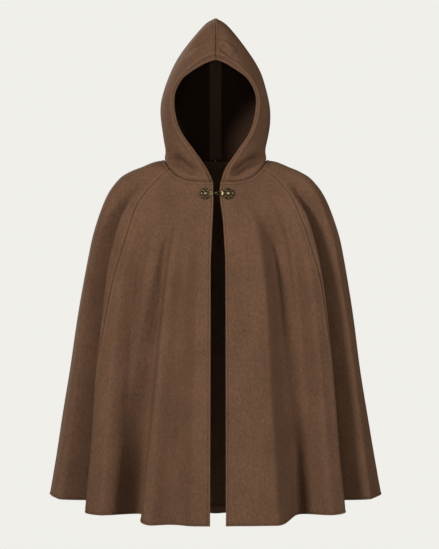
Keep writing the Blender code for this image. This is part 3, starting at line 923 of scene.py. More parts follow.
@dataclass(frozen=True)
class Graph:
    """Nodes of one material, laid out by short calls."""

    material: bpy.types.Material

    def node(self, kind: str, inputs: dict[str | int, object], **settings: object) -> bpy.types.Node:
        """New node with its inputs and its properties set.

        Args:
            kind: Type of node.
            inputs: Value or source socket of each input.
            **settings: Its properties.

        Returns:
            The node.
        """
        made = self.material.node_tree.nodes.new(kind)
        for name, value in settings.items():
            setattr(made, name, value)
        return filled(made, inputs)

    def shader(self, **inputs: object) -> None:
        """Sets inputs of the material's shader, with _ in their names for a space."""
        shader = self.material.node_tree.nodes["Principled BSDF"]
        filled(shader, {name.replace("_", " "): value for name, value in inputs.items()})

    def place(self) -> Socket:
        """Place in the piece's own space."""
        return self.node("ShaderNodeTexCoord", {}).outputs["Object"]

    def noise(self, scale: tuple[float, float, float], detail: float, rough: float = 0.6) -> Socket:
        """Noise in the piece's own space.

        Args:
            scale: Times that it repeats in a metre, along each axis.
            detail: Number of finer layers.
            rough: Weight of the finer layers.

        Returns:
            The noise's value socket.
        """
        place = self.node("ShaderNodeMapping", {"Vector": self.place(), "Scale": scale}).outputs["Vector"]
        inputs = {"Vector": place, "Scale": 1.0, "Detail": detail, "Roughness": rough}
        return self.node("ShaderNodeTexNoise", inputs).outputs["Fac"]

    def multiply_add(self, value: Socket, weight: float, added: Socket | float) -> Socket:
        """A value times its weight, and something more."""
        inputs = {0: value, 1: weight, 2: added}
        return self.node("ShaderNodeMath", inputs, operation="MULTIPLY_ADD").outputs[0]

    def weighted(self, layers: list[tuple[Socket, float]]) -> Socket:
        """Sum of values times weights, round 0.5.

        Args:
            layers: Values and their weights.

        Returns:
            The sum's socket.
        """
        total = 0.5 - 0.5 * sum(weight for _, weight in layers)
        for socket, weight in layers:
            total = self.multiply_add(socket, weight, total)
        return total

    def ramp(self, value: Socket, stops: tuple[tuple[float, Colour], ...]) -> Socket:
        """Colour of a value on a ramp.

        Args:
            value: Value to look up.
            stops: Position and colour of each stop, rising.

        Returns:
            The colour's socket.
        """
        made = self.node("ShaderNodeValToRGB", {"Fac": value})
        ends = made.color_ramp.elements
        for end, (position, colour) in zip(ends, (stops[0], stops[-1])):
            end.position = position
            end.color = opaque(colour)
        for position, colour in stops[1:-1]:
            ends.new(position).color = opaque(colour)
        return made.outputs["Color"]

    def bump(self, height: Socket, strength: float, distance: float) -> None:
        """Relief on the shader's normal."""
        relief = self.node("ShaderNodeBump", {"Strength": strength, "Distance": distance, "Height": height})
        self.shader(Normal=relief.outputs["Normal"])


def blank_material(name: str, roughness: float, metallic: float = 0.0) -> Graph:
    """Material with a plain shader.

    Args:
        name: Name of the material.
        roughness: Roughness of its surface.
        metallic: 1 for metal.

    Returns:
        The material's graph.
    """
    material = bpy.data.materials.new(name)
    material.use_nodes = True
    graph = Graph(material)
    graph.shader(Roughness=roughness, Metallic=metallic)
    return graph


@dataclass(frozen=True)
class Wool:
    """Milled wool coating with a short brushed nap that runs down the cloth."""

    name: str
    colour: Colour
    contrast: float = 0.31
    # Weight of the edges' tone: rubbed wear, painted highlight on raised strips and painted shade in clefts
    # and stitched dents
    wear_and_light: float = 0.25
    sheen: float = 0.06
    roughness: float = 0.94

    def material(self) -> bpy.types.Material:
        """Material with clouded dye, felted mottling, fine fibres, and a tone by the edges that is partly
        rubbed wear, partly painted highlight and partly painted shade.

        Returns:
            The material.
        """
        graph = blank_material(self.name, self.roughness)
        cloud = graph.noise((16.0, 16.0, 11.0), 3.0)
        felt = graph.noise((230.0, 230.0, 170.0), 4.0, 0.65)
        nap = graph.noise((620.0, 620.0, 90.0), 3.0, 0.7)
        fibre = graph.noise((2100.0, 2100.0, 700.0), 2.0, 0.7)
        tone = graph.weighted([(cloud, 0.45), (felt, 0.75), (nap, 0.70), (fibre, 0.35)])
        # Tone from the mesh's edges: rubbed wear, painted highlight on raised strips and painted shade in
        # clefts and stitched dents
        wear_and_painted_light = graph.node("ShaderNodeAttribute", {}, attribute_name="wear_and_painted_light").outputs["Fac"]
        worn = graph.multiply_add(wear_and_painted_light, self.wear_and_light, tone)
        low, high = shade(self.colour, 1.0 - self.contrast), shade(self.colour, 1.0 + self.contrast)
        colour = graph.ramp(worn, ((0.25, low), (0.5, self.colour), (0.75, high)))
        tint = opaque(shade(self.colour, 4.0))
        graph.shader(Base_Color=colour, Sheen_Weight=self.sheen, Sheen_Roughness=0.45, Sheen_Tint=tint)
        graph.shader(Specular_IOR_Level=0.12)
        graph.bump(graph.weighted([(felt, 0.9), (nap, 0.7), (fibre, 0.5)]), 0.45, 0.0007)
        return graph.material


@dataclass(frozen=True)
class Twill:
    """Woven tape with a fine diagonal rib."""

    name: str
    colour: Colour
    wave_scale: float = 110.0

    def material(self) -> bpy.types.Material:
        """Material with slanting ribs and slight unevenness.

        Returns:
            The material.
        """
        graph = blank_material(self.name, 0.8)
        inputs = {"Vector": graph.place(), "Scale": self.wave_scale, "Distortion": 0.6}
        wave = graph.node("ShaderNodeTexWave", inputs, wave_type="BANDS", bands_direction="DIAGONAL")
        rib, uneven = wave.outputs["Fac"], graph.noise((260.0, 260.0, 260.0), 3.0)
        stops = ((0.2, shade(self.colour, 0.8)), (0.8, shade(self.colour, 1.2)))
        colour = graph.ramp(graph.weighted([(rib, 0.35), (uneven, 0.6)]), stops)
        graph.shader(Base_Color=colour, Specular_IOR_Level=0.2)
        graph.bump(rib, 0.5, 0.0003)
        return graph.material


@dataclass(frozen=True)
class Cotton:
    """Matt sewing thread."""

    name: str
    colour: Colour

    def material(self) -> bpy.types.Material:
        """Material with a twisted ply's small changes of tone.

        Returns:
            The material.
        """
        graph = blank_material(self.name, 0.7)
        ply = graph.noise((1500.0, 1500.0, 1500.0), 2.0)
        stops = ((0.3, shade(self.colour, 0.75)), (0.7, shade(self.colour, 1.25)))
        graph.shader(Base_Color=graph.ramp(ply, stops))
        graph.bump(ply, 0.3, 0.0002)
        return graph.material


@dataclass(frozen=True)
class Brass:
    """Antique brass, dark in its hollows and rubbed bright on its edges."""

    name: str
    bright: Colour = (0.80, 0.67, 0.36)
    worn: Colour = (0.50, 0.41, 0.19)
    tarnish: Colour = (0.06, 0.048, 0.026)

    def material(self) -> bpy.types.Material:
        """Material whose colour follows the relief, with blotches of tarnish.

        Returns:
            The material.
        """
        graph = blank_material(self.name, 0.36, 1.0)
        relief = graph.node("ShaderNodeNewGeometry", {}).outputs["Pointiness"]
        blotch = graph.noise((420.0, 420.0, 420.0), 3.0)
        stops = ((0.38, self.tarnish), (0.52, self.worn), (0.78, self.bright))
        colour = graph.ramp(graph.weighted([(relief, 3.4), (blotch, 0.5)]), stops)
        rough = graph.node("ShaderNodeMapRange", {"Value": blotch, "To Min": 0.22, "To Max": 0.52})
        graph.shader(Base_Color=colour, Roughness=rough.outputs["Result"])
        graph.bump(graph.noise((1600.0, 1600.0, 1600.0), 2.0), 0.25, 0.0001)
        return graph.material


@dataclass
class Finishes:
    """All finishes of the cape, made once."""

    wool_colour: Colour = (0.150, 0.078, 0.0445)
    # Shares of the wool's colour left on the inner faces of the body and of the hood: the same cloth,
    # darkened as painted shade of the hollow
    inside_shade_share: float = 0.74
    hood_inside_shade_share: float = 0.27
    wool: bpy.types.Material = field(init=False)
    wool_inside_shaded: bpy.types.Material = field(init=False)
    hood_inside_shaded: bpy.types.Material = field(init=False)
    tape: bpy.types.Material = field(init=False)
    thread: bpy.types.Material = field(init=False)
    brass: bpy.types.Material = field(init=False)
    brass_ground: bpy.types.Material = field(init=False)

    def __post_init__(self) -> None:
        """Makes the materials."""
        self.wool = Wool("wool_outside", self.wool_colour).material()
        # The inner faces are the same wool, darkened as painted shade
        inside = shade(self.wool_colour, self.inside_shade_share)
        self.wool_inside_shaded = Wool("wool_inside_shaded", inside, sheen=0.0).material()
        inside = shade(self.wool_colour, self.hood_inside_shade_share)
        self.hood_inside_shaded = Wool("hood_inside_shaded", inside, sheen=0.0).material()
        self.tape = Twill("twill_tape", (0.112, 0.065, 0.040)).material()
        self.thread = Cotton("brown_thread", (0.105, 0.055, 0.032)).material()
        self.brass = Brass("antique_brass").material()
        ground = Brass("brass_ground", (0.16, 0.13, 0.065), (0.055, 0.044, 0.023), (0.022, 0.018, 0.011))
        self.brass_ground = ground.material()


def dressed(piece: bpy.types.Object, slot: str, *nodes: str) -> bpy.types.Object:
    """Fixes a piece to the cape, hides the solids that it replaces and logs its number of faces.

    Args:
        piece: The new piece.
        slot: Not used.
        *nodes: Solids that it replaces.

    Returns:
        The same piece.
    """
    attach(piece, BODY)
    if nodes:
        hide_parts(*nodes)
    LOG.info("%s: %d faces", piece.name, len(piece.data.polygons))
    return piece


@dataclass(frozen=True)
class Cut:
    """Size of a piece's cut: width, length and flat area, in metres and square metres."""

    width: float
    length: float
    area: float


@dataclass(frozen=True)
class Layout:
    """How a piece's mesh is laid over its surface.

    Attributes:
        last: Place of the last row.
        row_step: Distance between rows.
        samples: Number of places, and of shares across, at which lengths are measured.
        gap: Gap that the first and the last column share.
        measured_at: Angle at which rows are spaced, or none for midway between the edges.
        probe: Stretch of places over which the spacing of the end rows is measured.
        top_band: Distance from the first row to which rows keep even, and the fade beyond it.
        low_band: The same from the last row.
        neck_side: Direction in which the neck seam's gap opens, up or down.
    """

    last: float
    row_step: float
    samples: tuple[int, int]
    gap: float
    measured_at: float | None
    probe: float
    top_band: tuple[float, float]
    low_band: tuple[float, float]
    neck_side: float


BODY_LAYOUT = Layout(
    HEM, GRID_STEP, (1200, 500), SEAM_GAP, None, 0.5, (0.012, 0.06), (0.025, 0.10), -1.0
)
HOOD_LAYOUT = Layout(
    RIDGE, GRID_STEP * 0.8, (800, 400), 0.0, 95.0, 0.25, (0.010, 0.025), (0.009, 0.014), 1.0
)


@dataclass
class ClothPiece:
    """Cloth piece with four edges, as a closed wall with its stitching.

    Attributes:
        name: Name of the solid that it replaces.
        surface: Surface that it lies on.
        edge_from: Angle of its first column by place.
        edge_to: Angle of its last column by place.
        borders: Edges along the first and last column, and along the first and last row.
        cut: Size of its cut, not used.
        columns: Number of even steps across, between the bands beside its edges.
        creases: Creases pressed into it.
    """

    name: str
    surface: BodySurface | HoodSurface
    edge_from: Edge
    edge_to: Edge
    borders: tuple[Border, Border, Border, Border]
    cut: Cut
    columns: int
    creases: tuple[Crease, ...] = ()

    @property
    def layout(self) -> Layout:
        """How its mesh is laid."""
        return BODY_LAYOUT

    def inside(self, finishes: Finishes) -> bpy.types.Material:
        """Finish of its inner face: the same wool, painted darker as shade."""
        return finishes.wool_inside_shaded

    def angle_at(self, share: Array, place: Array) -> Array:
        """Angle at a share of the way from the first edge to the last one."""
        start, end = self.edge_from(place), self.edge_to(place)
        return start + (end - start) * share

    def grid(self) -> Grid:
        """Points of the outer face by row and column, even in length along each row.

        Returns:
            The grid of its points.
        """
        layout = self.layout
        first, last, top, low = (border.value.stops() for border in self.borders)
        fine = np.linspace(0.0, layout.last, layout.samples[0])
        measured_at = self.angle_at(0.5, fine) if layout.measured_at is None else layout.measured_at
        far = walked(self.surface.plain(measured_at, fine))
        away = band_distances(top, low, far[-1], int(far[-1] / layout.row_step))
        nominal = np.interp(away, far, fine)[:, None]
        shares = np.linspace(0.0, 1.0, layout.samples[1])
        lines = walked(self.surface.point(self.angle_at(shares, nominal), nominal))
        width = lines[:, -1] - layout.gap
        across = band_distances(first, last, width, self.columns)
        share = [np.interp(row + layout.gap / 2.0, line, shares) for row, line in zip(across, lines)]
        share = np.array(share)
        place = self.shifted(self.angle_at(share, nominal), nominal, away)
        angle = self.angle_at(share, place)
        down = np.broadcast_to(away[:, None], place.shape)
        distances = (across, width[:, None] - across, down, away[-1] - down)
        return Grid(self.surface.point(angle, place), self.surface.facing(angle, place), distances)

    def shifted(self, angle: Array, nominal: Array, away: Array) -> Array:
        """Places that keep the rows beside the first and the last one at even distances from them.

        Args:
            angle: Angle at each point.
            nominal: Place of each row along the line on which rows are spaced.
            away: Distance of each row from the first one along that line.

        Returns:
            The place of each point.
        """
        last, probe = self.layout.last, self.layout.probe
        top = self.surface.plain(angle, probe) - self.surface.plain(angle, 0.0)
        low = self.surface.plain(angle, last) - self.surface.plain(angle, last - probe)
        top_share, low_share = (np.linalg.norm(step, axis=-1) / probe for step in (top, low))
        down, up = away[:, None], (away[-1] - away)[:, None]
        near_top = 1.0 - smooth_step((down - self.layout.top_band[0]) / self.layout.top_band[1])
        near_low = 1.0 - smooth_step((up - self.layout.low_band[0]) / self.layout.low_band[1])
        place = nominal * (1.0 - near_top) * (1.0 - near_low)
        return place + near_top * down / top_share + near_low * (last - up / low_share)

    def faces(self, grid: Grid) -> tuple[Array, Array]:
        """Outer and inner points with edges, stitching dents and creases.

        Args:
            grid: Points of the outer face before its edges are shaped.

        Returns:
            Both faces' points.
        """
        height, depth, curl = (np.full(grid.points.shape[:2], flat) for flat in (0.0, CLOTH, 0.0))
        for border, away in zip(self.borders, grid.away):
            height += border.value.outer(away)
            depth += border.value.inner(away)
            curl += border.value.curled(away)
        for crease in self.creases:
            sunk = crease.sunk(grid.points, grid.facing)
            height -= sunk
            depth += sunk
        fall = smooth_step((grid.points[..., 2] - CURL_TURNS_DOWN) / CURL_TURN_RISE)
        back = np.stack((np.zeros_like(curl), curl, -CURL_FALL * curl * fall), -1)
        outer = grid.points + grid.facing * height[..., None] + back
        inner = grid.points - grid.facing * depth[..., None] + back
        for points in (outer, inner):
            points[0, :, 2] += self.layout.neck_side * SEAM_GAP / 2.0
        return outer, inner

    def build(self, finishes: Finishes) -> None:
        """Makes the piece and its stitching.

        Args:
            finishes: Finishes of the cape.
        """
        grid = self.grid()
        outer, inner = self.faces(grid)
        low = grid.away[3]
        middle = (low[1:, 1:] + low[:-1, :-1]) / 2.0
        inner_finish = np.where(middle < self.borders[3].value.turned, 0, 1)
        # Tone by the edges: rubbed wear, painted highlight on the raised strips, painted shade in clefts and
        # stitched dents
        wear_and_painted_light = sum(border.value.wear_and_painted_light(away) for border, away in zip(self.borders, grid.away))
        materials, slot = [finishes.wool, self.inside(finishes)], self.name + "_wool"
        cloth = wall(outer, inner, inner_finish).piece(self.name + "_cloth", materials, wear_and_painted_light)
        dressed(cloth, slot, self.name)
        parts = MeshParts()
        for path, facing in self.stitch_rows(grid, outer):
            Thread().stitch(parts, path, facing)
        made = [parts.piece(self.name + "_stitching", [finishes.thread])]
        dressed(made[0], slot)

    def stitch_rows(self, grid: Grid, outer: Array) -> list[tuple[Array, Array]]:
        """Paths of the topstitching with the outward direction along them.

        Args:
            grid: Points of the piece.
            outer: Points of its outer face.

        Returns:
            A path and its directions for each row of stitches.
        """
        rows = []
        middle_row, middle_column = outer.shape[0] // 2, outer.shape[1] // 2
        for number, (border, away) in enumerate(zip(self.borders, grid.away)):
            across = away[middle_row] if number < 2 else away[:, middle_column]
            line = int(np.abs(across - border.value.stitch_at).argmin())
            if border.value.stitch_at:
                where = (slice(None), line) if number < 2 else line
                rows.append((outer[where], grid.facing[where]))
        return rows


@dataclass
class HoodHalf(ClothPiece):
    """Half of the hood, from the neck seam up to the ridge and from the opening to the back."""

    @property
    def layout(self) -> Layout:
        """How its mesh is laid."""
        return HOOD_LAYOUT

    def inside(self, finishes: Finishes) -> bpy.types.Material:
        """Finish of its inner face: the same wool, painted darker than the body's as shade inside the hood.
        """
        return finishes.hood_inside_shaded

    def faces(self, grid: Grid) -> tuple[Array, Array]:
        """Outer and inner points, mitred where the two halves meet.

        Args:
            grid: Points of the outer face before its edges are shaped.

        Returns:
            Both faces' points.
        """
        outer, inner = super().faces(grid)
        side = self.surface.side.value
        for points in (outer, inner):
            clear = np.maximum(points[..., 0] * side, SEAM_GAP / 2.0)
            clear[-1] = SEAM_GAP / 2.0
            clear[:, -1] = SEAM_GAP / 2.0
            points[..., 0] = clear * side
        return outer, inner


@dataclass
class Tapes:
    """Twill tapes sewn inside over the neck seam and the hood's centre seam."""

    thickness: float = 0.0010
    gap: float = 0.0003
    neck_half_height: float = 0.0085
    neck_from: float = 98.0
    hood_width: float = 0.027
    hood_low: float = 0.4
    hood_high: float = 8.8
    stitch_inset: float = 0.0020
    thread: Thread = Thread(radius=0.00026)

    def build(self, finishes: Finishes) -> None:
        """Makes both tapes and their stitching."""
        self.sewn("neck_tape", "neck_tape_twill", (0.275, 0.017), *self.neck_line(), finishes)
        self.sewn("hood_seam_tape", "hood_tape_twill", (0.027, 0.340), *self.hood_line(), finishes)

    def sewn(
        self, name: str, slot: str, flat: tuple[float, float], line: Array, facing: Array, gap: float,
        finishes: Finishes,
    ) -> None:
        """Makes a tape under the cloth, with a row of stitches near each of its edges.

        Args:
            name: Solid that it replaces.
            slot: Its material slot.
            flat: Its width and length, not used.
            line: Points of the cloth's outer face over it, a row for each line across the tape.
            facing: Outward direction there.
            gap: Gap between the tape and the cloth.
            finishes: Finishes of the cape.
        """
        hidden = line - facing * (CLOTH + gap)
        shown = line - facing * (CLOTH + gap + self.thickness)
        finish = np.zeros((shown.shape[0] - 1, shown.shape[1] - 1), int)
        tape = dressed(wall(hidden, shown, finish).piece(name + "_strip", [finishes.tape]), slot, name)
        parts = MeshParts()
        facing = normalised(shown - hidden)
        for edge in (1, -2):
            self.thread.stitch(parts, shown[:, edge], facing[:, edge])
        for edge in (1, -2):
            self.thread.stitch(parts, shown[edge], facing[edge])
        stitching = dressed(parts.piece(name + "_stitching", [finishes.thread]), slot)

    def profile(self, half: float) -> Array:
        """Places across a tape, its stitch lines among them."""
        inner = np.linspace(-half + self.stitch_inset, half - self.stitch_inset, 9)
        return np.concatenate(([-half], inner, [half]))

    def neck_line(self) -> tuple[Array, Array, float]:
        """Points of the cloth over the neck tape, the outward direction there and the gap.

        Returns:
            The points, the directions and the gap under the cloth.
        """
        lifts = self.profile(self.neck_half_height)[:, None]
        lines, facings = [], []
        for turn in np.linspace(self.neck_from, 360.0 - self.neck_from, 110):
            half = HoodSurface(Side.RIGHT if turn <= 180.0 else Side.LEFT)
            angle = np.array(min(turn, 360.0 - turn))
            foot = half.point(angle, 0.0)
            rise = normalised(half.point(angle, 0.2) - foot)
            level = normalised(half.facing(angle, np.array(0.05)) * (1.0, 1.0, 0.0))
            lines.append(foot + np.where(lifts > 0.0, rise, (0.0, 0.0, 1.0)) * lifts)
            facings.append(np.broadcast_to(level, lines[-1].shape))
        return np.array(lines), np.array(facings), self.gap * 1.5

    def hood_line(self) -> tuple[Array, Array, float]:
        """Points of the cloth over the hood's tape, the outward direction there and the gap.

        Returns:
            The points, the directions and the gap under the cloth.
        """
        right = HoodSurface(Side.RIGHT)
        across = self.profile(self.hood_width / 2.0)
        place = np.linspace(self.hood_low, self.hood_high, 130)[:, None]
        width = table_curve(LEVELS, place)[..., 4]
        angle = 180.0 - np.degrees(np.arcsin(np.minimum(np.abs(across) / width, 0.95)))
        mirror = np.stack((np.sign(across), np.ones_like(across), np.ones_like(across)), -1)
        return right.point(angle, place) * mirror, normalised(right.facing(angle, place) * mirror), self.gap


def wire(parts: MeshParts, path: Array, radius: float | Array, sides: int, loop: bool = False) -> None:
    """Adds a round wire along a path.

    Args:
        parts: Mesh that takes it.
        path: Points of its centre line.
        radius: Its radius, or one for each point.
        sides: Number of flats round it.
        loop: True where it closes on itself.
    """
    steps = np.roll(path, -1, 0) - np.roll(path, 1, 0) if loop else np.gradient(path, axis=0)
    along = normalised(steps)
    level = np.cross(along, (0.0, 1.0, 0.0))
    weak = np.linalg.norm(level, axis=1) < 0.3
    level[weak] = np.cross(along[weak], (0.0, 0.0, 1.0))
    level = normalised(level)
    rise = np.cross(level, along)
    turn = turns(sides)[:, None]
    reach = np.broadcast_to(radius, len(path))[:, None, None]
    rings = path[:, None] + reach * (level[:, None] * np.cos(turn) + rise[:, None] * np.sin(turn))
    index = np.arange(len(path) * sides).reshape(len(path), sides)
    here, after = (index, np.roll(index, -1, axis=0)) if loop else (index[:-1], index[1:])
    squares = np.stack((here, np.roll(here, -1, 1), np.roll(after, -1, 1), after), -1).reshape(-1, 4)
    start = parts.count
    parts.add(rings, squares)
    if not loop:
        parts.faces.append(np.stack((index[0][::-1], index[-1])) + start)
        parts.finishes.append(np.zeros(2, int))


def dome(parts: MeshParts, centre: Array, radius: float, rings: int, sides: int) -> None:
    """Adds a round bead.

    Args:
        parts: Mesh that takes it.
        centre: Its middle.
        radius: Its radius.
        rings: Number of rings from its foot to its top.
        sides: Number of flats round it.
    """
    down, turn = np.linspace(0.0, np.pi, rings)[:, None], turns(sides)[None]
    unit = np.stack(
        (np.sin(down) * np.cos(turn), -np.cos(down) + 0.0 * turn, np.sin(down) * np.sin(turn)), -1
    )
    index = np.arange(rings * sides).reshape(rings, sides)
    after = np.roll(index, -1, axis=1)
    squares = np.stack((index[:-1], index[1:], after[1:], after[:-1]), -1).reshape(-1, 4)
    parts.add(centre + unit * radius, squares)


@dataclass
class ClaspHalf:
    """Half of the clasp: pierced scrollwork with the hook on the left or the eye on the right."""

    side: Side
    middle: float
    half_width: float
    half_height: float
    surface: BodySurface = field(default_factory=BodySurface)
    lobes: int = 8
    lobe_depth: float = 0.11
    eye_bulge: float = 0.16
    eye_bulge_width: float = 0.22
    plate: float = 0.0011
    wire_radius: float = 0.00056
    clearance: float = 0.0016
    height: float = -0.0508
    rope_radius: float = 0.00040
    rope_twists: int = 34
    lobe_bead_at: float = 0.80
    lobe_beads: tuple[float, float] = (0.00105, 0.00085)
    boss: float = 0.0022
    boss_ring: float = 0.0029
    boss_beads: int = 14
    boss_bead: float = 0.00048
    hook_radius: tuple[float, float] = (0.0014, 0.0010)
    hook_end: float = 0.0013
    eye_at: float = -0.0208
    eye_reach: tuple[float, float] = (0.0062, 0.0040)
    eye_radius: float = 0.0013
    hook_run: tuple[tuple[float, float], ...] = (
        (0.0110, -0.0010), (0.0160, -0.0012), (0.0185, -0.0008), (0.0205, 0.0012), (0.0250, 0.0012),
        (0.0264, 0.0000), (0.0266, -0.0024), (0.0252, -0.0040), (0.0222, -0.0043),
    )
    hook_beads: tuple[tuple[float, float, float], ...] = (
        (0.0113, 0.0029, 0.0022), (0.0113, -0.0029, 0.0022), (0.0148, 0.0, 0.0020)
    )
    eye_beads: tuple[tuple[float, float, float], ...] = (
        (-0.0134, 0.0031, 0.0021), (-0.0134, -0.0031, 0.0021), (-0.0125, 0.0, 0.0018)
    )

    def frame(self) -> Matrix:
        """Place on the cloth, turned to lie flat on it.

        Returns:
            The matrix of that place.
        """
        place = 0.5
        for _ in range(30):
            place += float(self.surface.plain(0.0, place)[2] - self.height) * 12.0
        width = table_curve(RINGS, np.array(place))[0]
        angle = np.degrees(np.arcsin(self.middle / width))
        point = self.surface.point(angle, place)
        out = Vector(self.surface.facing(angle, np.array(place)))
        level = Vector((0.0, 0.0, 1.0)).cross(-out).normalized()
        level = -level if level.x < 0.0 else level
        upward = (-out).cross(level)
        upward = -upward if upward.z < 0.0 else upward
        turned = Matrix((level, -out, upward)).transposed().to_4x4()
        return Matrix.Translation(Vector(point) + out * self.clearance) @ turned

    def rim(self, inset: float, count: int) -> Array:
        """Scalloped outline of the plate.

        Args:
            inset: Distance inside the outline.
            count: Number of points.

        Returns:
            Points across and up.
        """
        turn = turns(count)
        reach = 1.0 - self.lobe_depth * (0.5 - 0.5 * np.cos(self.lobes * turn))
        if self.side is Side.RIGHT:
            aside = np.minimum(turn, 2.0 * np.pi - turn)
            reach = reach + self.eye_bulge * bump(aside, 0.0, self.eye_bulge_width)
        across = (self.half_width * reach - inset) * np.cos(turn)
        up = (self.half_height * reach - inset) * np.sin(turn)
        return np.stack((across, up), -1)

    def holes(self) -> list[tuple[float, float, float, float]]:
        """Openings of the plate: centre across and up, then both radii.

        Returns:
            One row for each opening.
        """
        wide, tall = self.half_width, self.half_height
        return [
            (across * wide * 0.42, up * tall * 0.42, wide * 0.27, tall * 0.265)
            for across in (-1.0, 1.0)
            for up in (-1.0, 1.0)
        ]

    def base(self, parts: MeshParts) -> None:
        """Adds the thin pierced plate.

        Args:
            parts: Mesh that takes it.
        """
        mesh = bmesh.new()
        loops, turn = [self.rim(0.0002, 96)], turns(28)
        for across, up, wide, tall in self.holes():
            loops.append(np.stack((across + wide * np.cos(turn), up + tall * np.sin(turn)), -1))
        for loop in loops:
            points = [mesh.verts.new((across, 0.0, up)) for across, up in loop]
            for first, second in zip(points, points[1:] + points[:1]):
                mesh.edges.new((first, second))
        bmesh.ops.triangle_fill(mesh, edges=mesh.edges, use_beauty=True)
        grown = bmesh.ops.extrude_face_region(mesh, geom=mesh.faces[:])
        moved = [item for item in grown["geom"] if isinstance(item, bmesh.types.BMVert)]
        bmesh.ops.translate(mesh, verts=moved, vec=(0.0, -self.plate, 0.0))
        bmesh.ops.recalc_face_normals(mesh, faces=mesh.faces)
        bmesh.ops.triangulate(mesh, faces=mesh.faces)
        mesh.verts.index_update()
        points = np.array([vertex.co for vertex in mesh.verts])
        faces = np.array([[vertex.index for vertex in face.verts] for face in mesh.faces])
        mesh.free()
        parts.add(points, faces, 1)

    def rope(self, parts: MeshParts, path: Array, radius: float, twists: int) -> None:
        """Adds two wires twisted round a closed path.

        Args:
            parts: Mesh that takes them.
            path: Points of the path.
            radius: Radius of each wire.
            twists: Number of turns round the whole path.
        """
        turn = (turns(len(path)) * twists)[:, None]
        ahead = np.array((0.0, 1.0, 0.0))
        aside = np.cross(normalised(np.roll(path, -1, 0) - np.roll(path, 1, 0)), ahead)
        for phase in (0.0, np.pi):
            swing = np.cos(turn + phase) * aside + np.sin(turn + phase) * ahead
            wire(parts, path + swing * radius * 0.75, radius, 7, True)

    def scroll(self, parts: MeshParts, hole: tuple[float, float, float, float]) -> None:
        """Adds a spiral of wire round an opening, which tapers towards its eye.

        Args:
            parts: Mesh that takes it.
            hole: Centre of the opening across and up, then both radii.
        """
        middle_across, middle_up, wide, tall = hole
        right, above = math.copysign(1.0, middle_across), math.copysign(1.0, middle_up)
        part = np.linspace(0.0, 1.0, 46)
        turn = math.atan2(-above, -right) - 2.5 * np.pi * right * above * part
        reach = (1.0 - part) ** 0.85 * 0.88 + 0.12
        across = middle_across + wide * 1.45 * reach * np.cos(turn)
        up = middle_up + tall * 1.40 * reach * np.sin(turn)
        depth = np.full(across.shape, -self.plate - self.wire_radius * 0.55)
        path = np.stack((across, depth, up), -1)
        wire(parts, path, self.wire_radius * (1.0 - 0.35 * part), 8)
        dome(parts, path[-1], self.wire_radius * 1.5, 7, 10)

    def ornament(self, parts: MeshParts) -> None:
        """Adds the rope rim, scrolls, beads and boss.

        Args:
            parts: Mesh that takes them.
        """
        outline = np.insert(self.rim(0.0007, 260), 1, -self.plate - 0.0003, axis=1)
        self.rope(parts, outline, self.rope_radius, self.rope_twists)
        for hole in self.holes():
            self.scroll(parts, hole)
        for index, turn in enumerate(turns(self.lobes)):
            across = self.half_width * self.lobe_bead_at * math.cos(turn)
            up = self.half_height * self.lobe_bead_at * math.sin(turn)
            dome(parts, np.array((across, -self.plate - 0.0004, up)), self.lobe_beads[index % 2], 7, 12)
        dome(parts, np.array((0.0, -self.plate - 0.0002, 0.0)), self.boss, 11, 22)
        for turn in turns(self.boss_beads):
            across, up = self.boss_ring * math.cos(turn), self.boss_ring * math.sin(turn)
            dome(parts, np.array((across, -self.plate - 0.0003, up)), self.boss_bead, 6, 9)

    def fastening(self, parts: MeshParts) -> None:
        """Adds the beads beside the plate, and the hook or the eye.

        Args:
            parts: Mesh that takes them.
        """
        if self.side is Side.LEFT:
            beads, run = self.hook_beads, np.array(self.hook_run).T
            corner, places = np.arange(run.shape[1]), np.linspace(0.0, run.shape[1] - 1.0, 60)
            across, along = (soft_lookup(corner, column, places, 0.4) for column in run)
            path = np.stack((across, along, np.zeros_like(across)), -1)
            wire(parts, path, np.linspace(*self.hook_radius, len(path)), 12)
            dome(parts, path[-1], self.hook_end, 8, 14)
        else:
            beads, turn = self.eye_beads, turns(56)
            depth = np.full(turn.shape, -self.plate)
            wide, tall = self.eye_reach
            ring = np.stack((self.eye_at + wide * np.cos(turn), depth, tall * np.sin(turn)), -1)
            wire(parts, ring, self.eye_radius, 12, True)
        for across, up, radius in beads:
            dome(parts, np.array((across, -self.plate, up)), radius, 11, 18)

    def build(self, finishes: Finishes) -> None:
        """Makes this half of the clasp.

        Args:
            finishes: Finishes of the cape.
        """
        parts = MeshParts()
        self.base(parts)
        self.ornament(parts)
        self.fastening(parts)
        name, slot = ("clasp_hook", "hook_brass") if self.side is Side.LEFT else ("clasp_eye", "eye_brass")
        materials = [finishes.brass, finishes.brass_ground]
        piece = parts.placed(self.frame()).piece(name + "_filigree", materials)
        piece.data.set_sharp_from_angle(angle=math.radians(45.0))
        dressed(piece, slot, name)


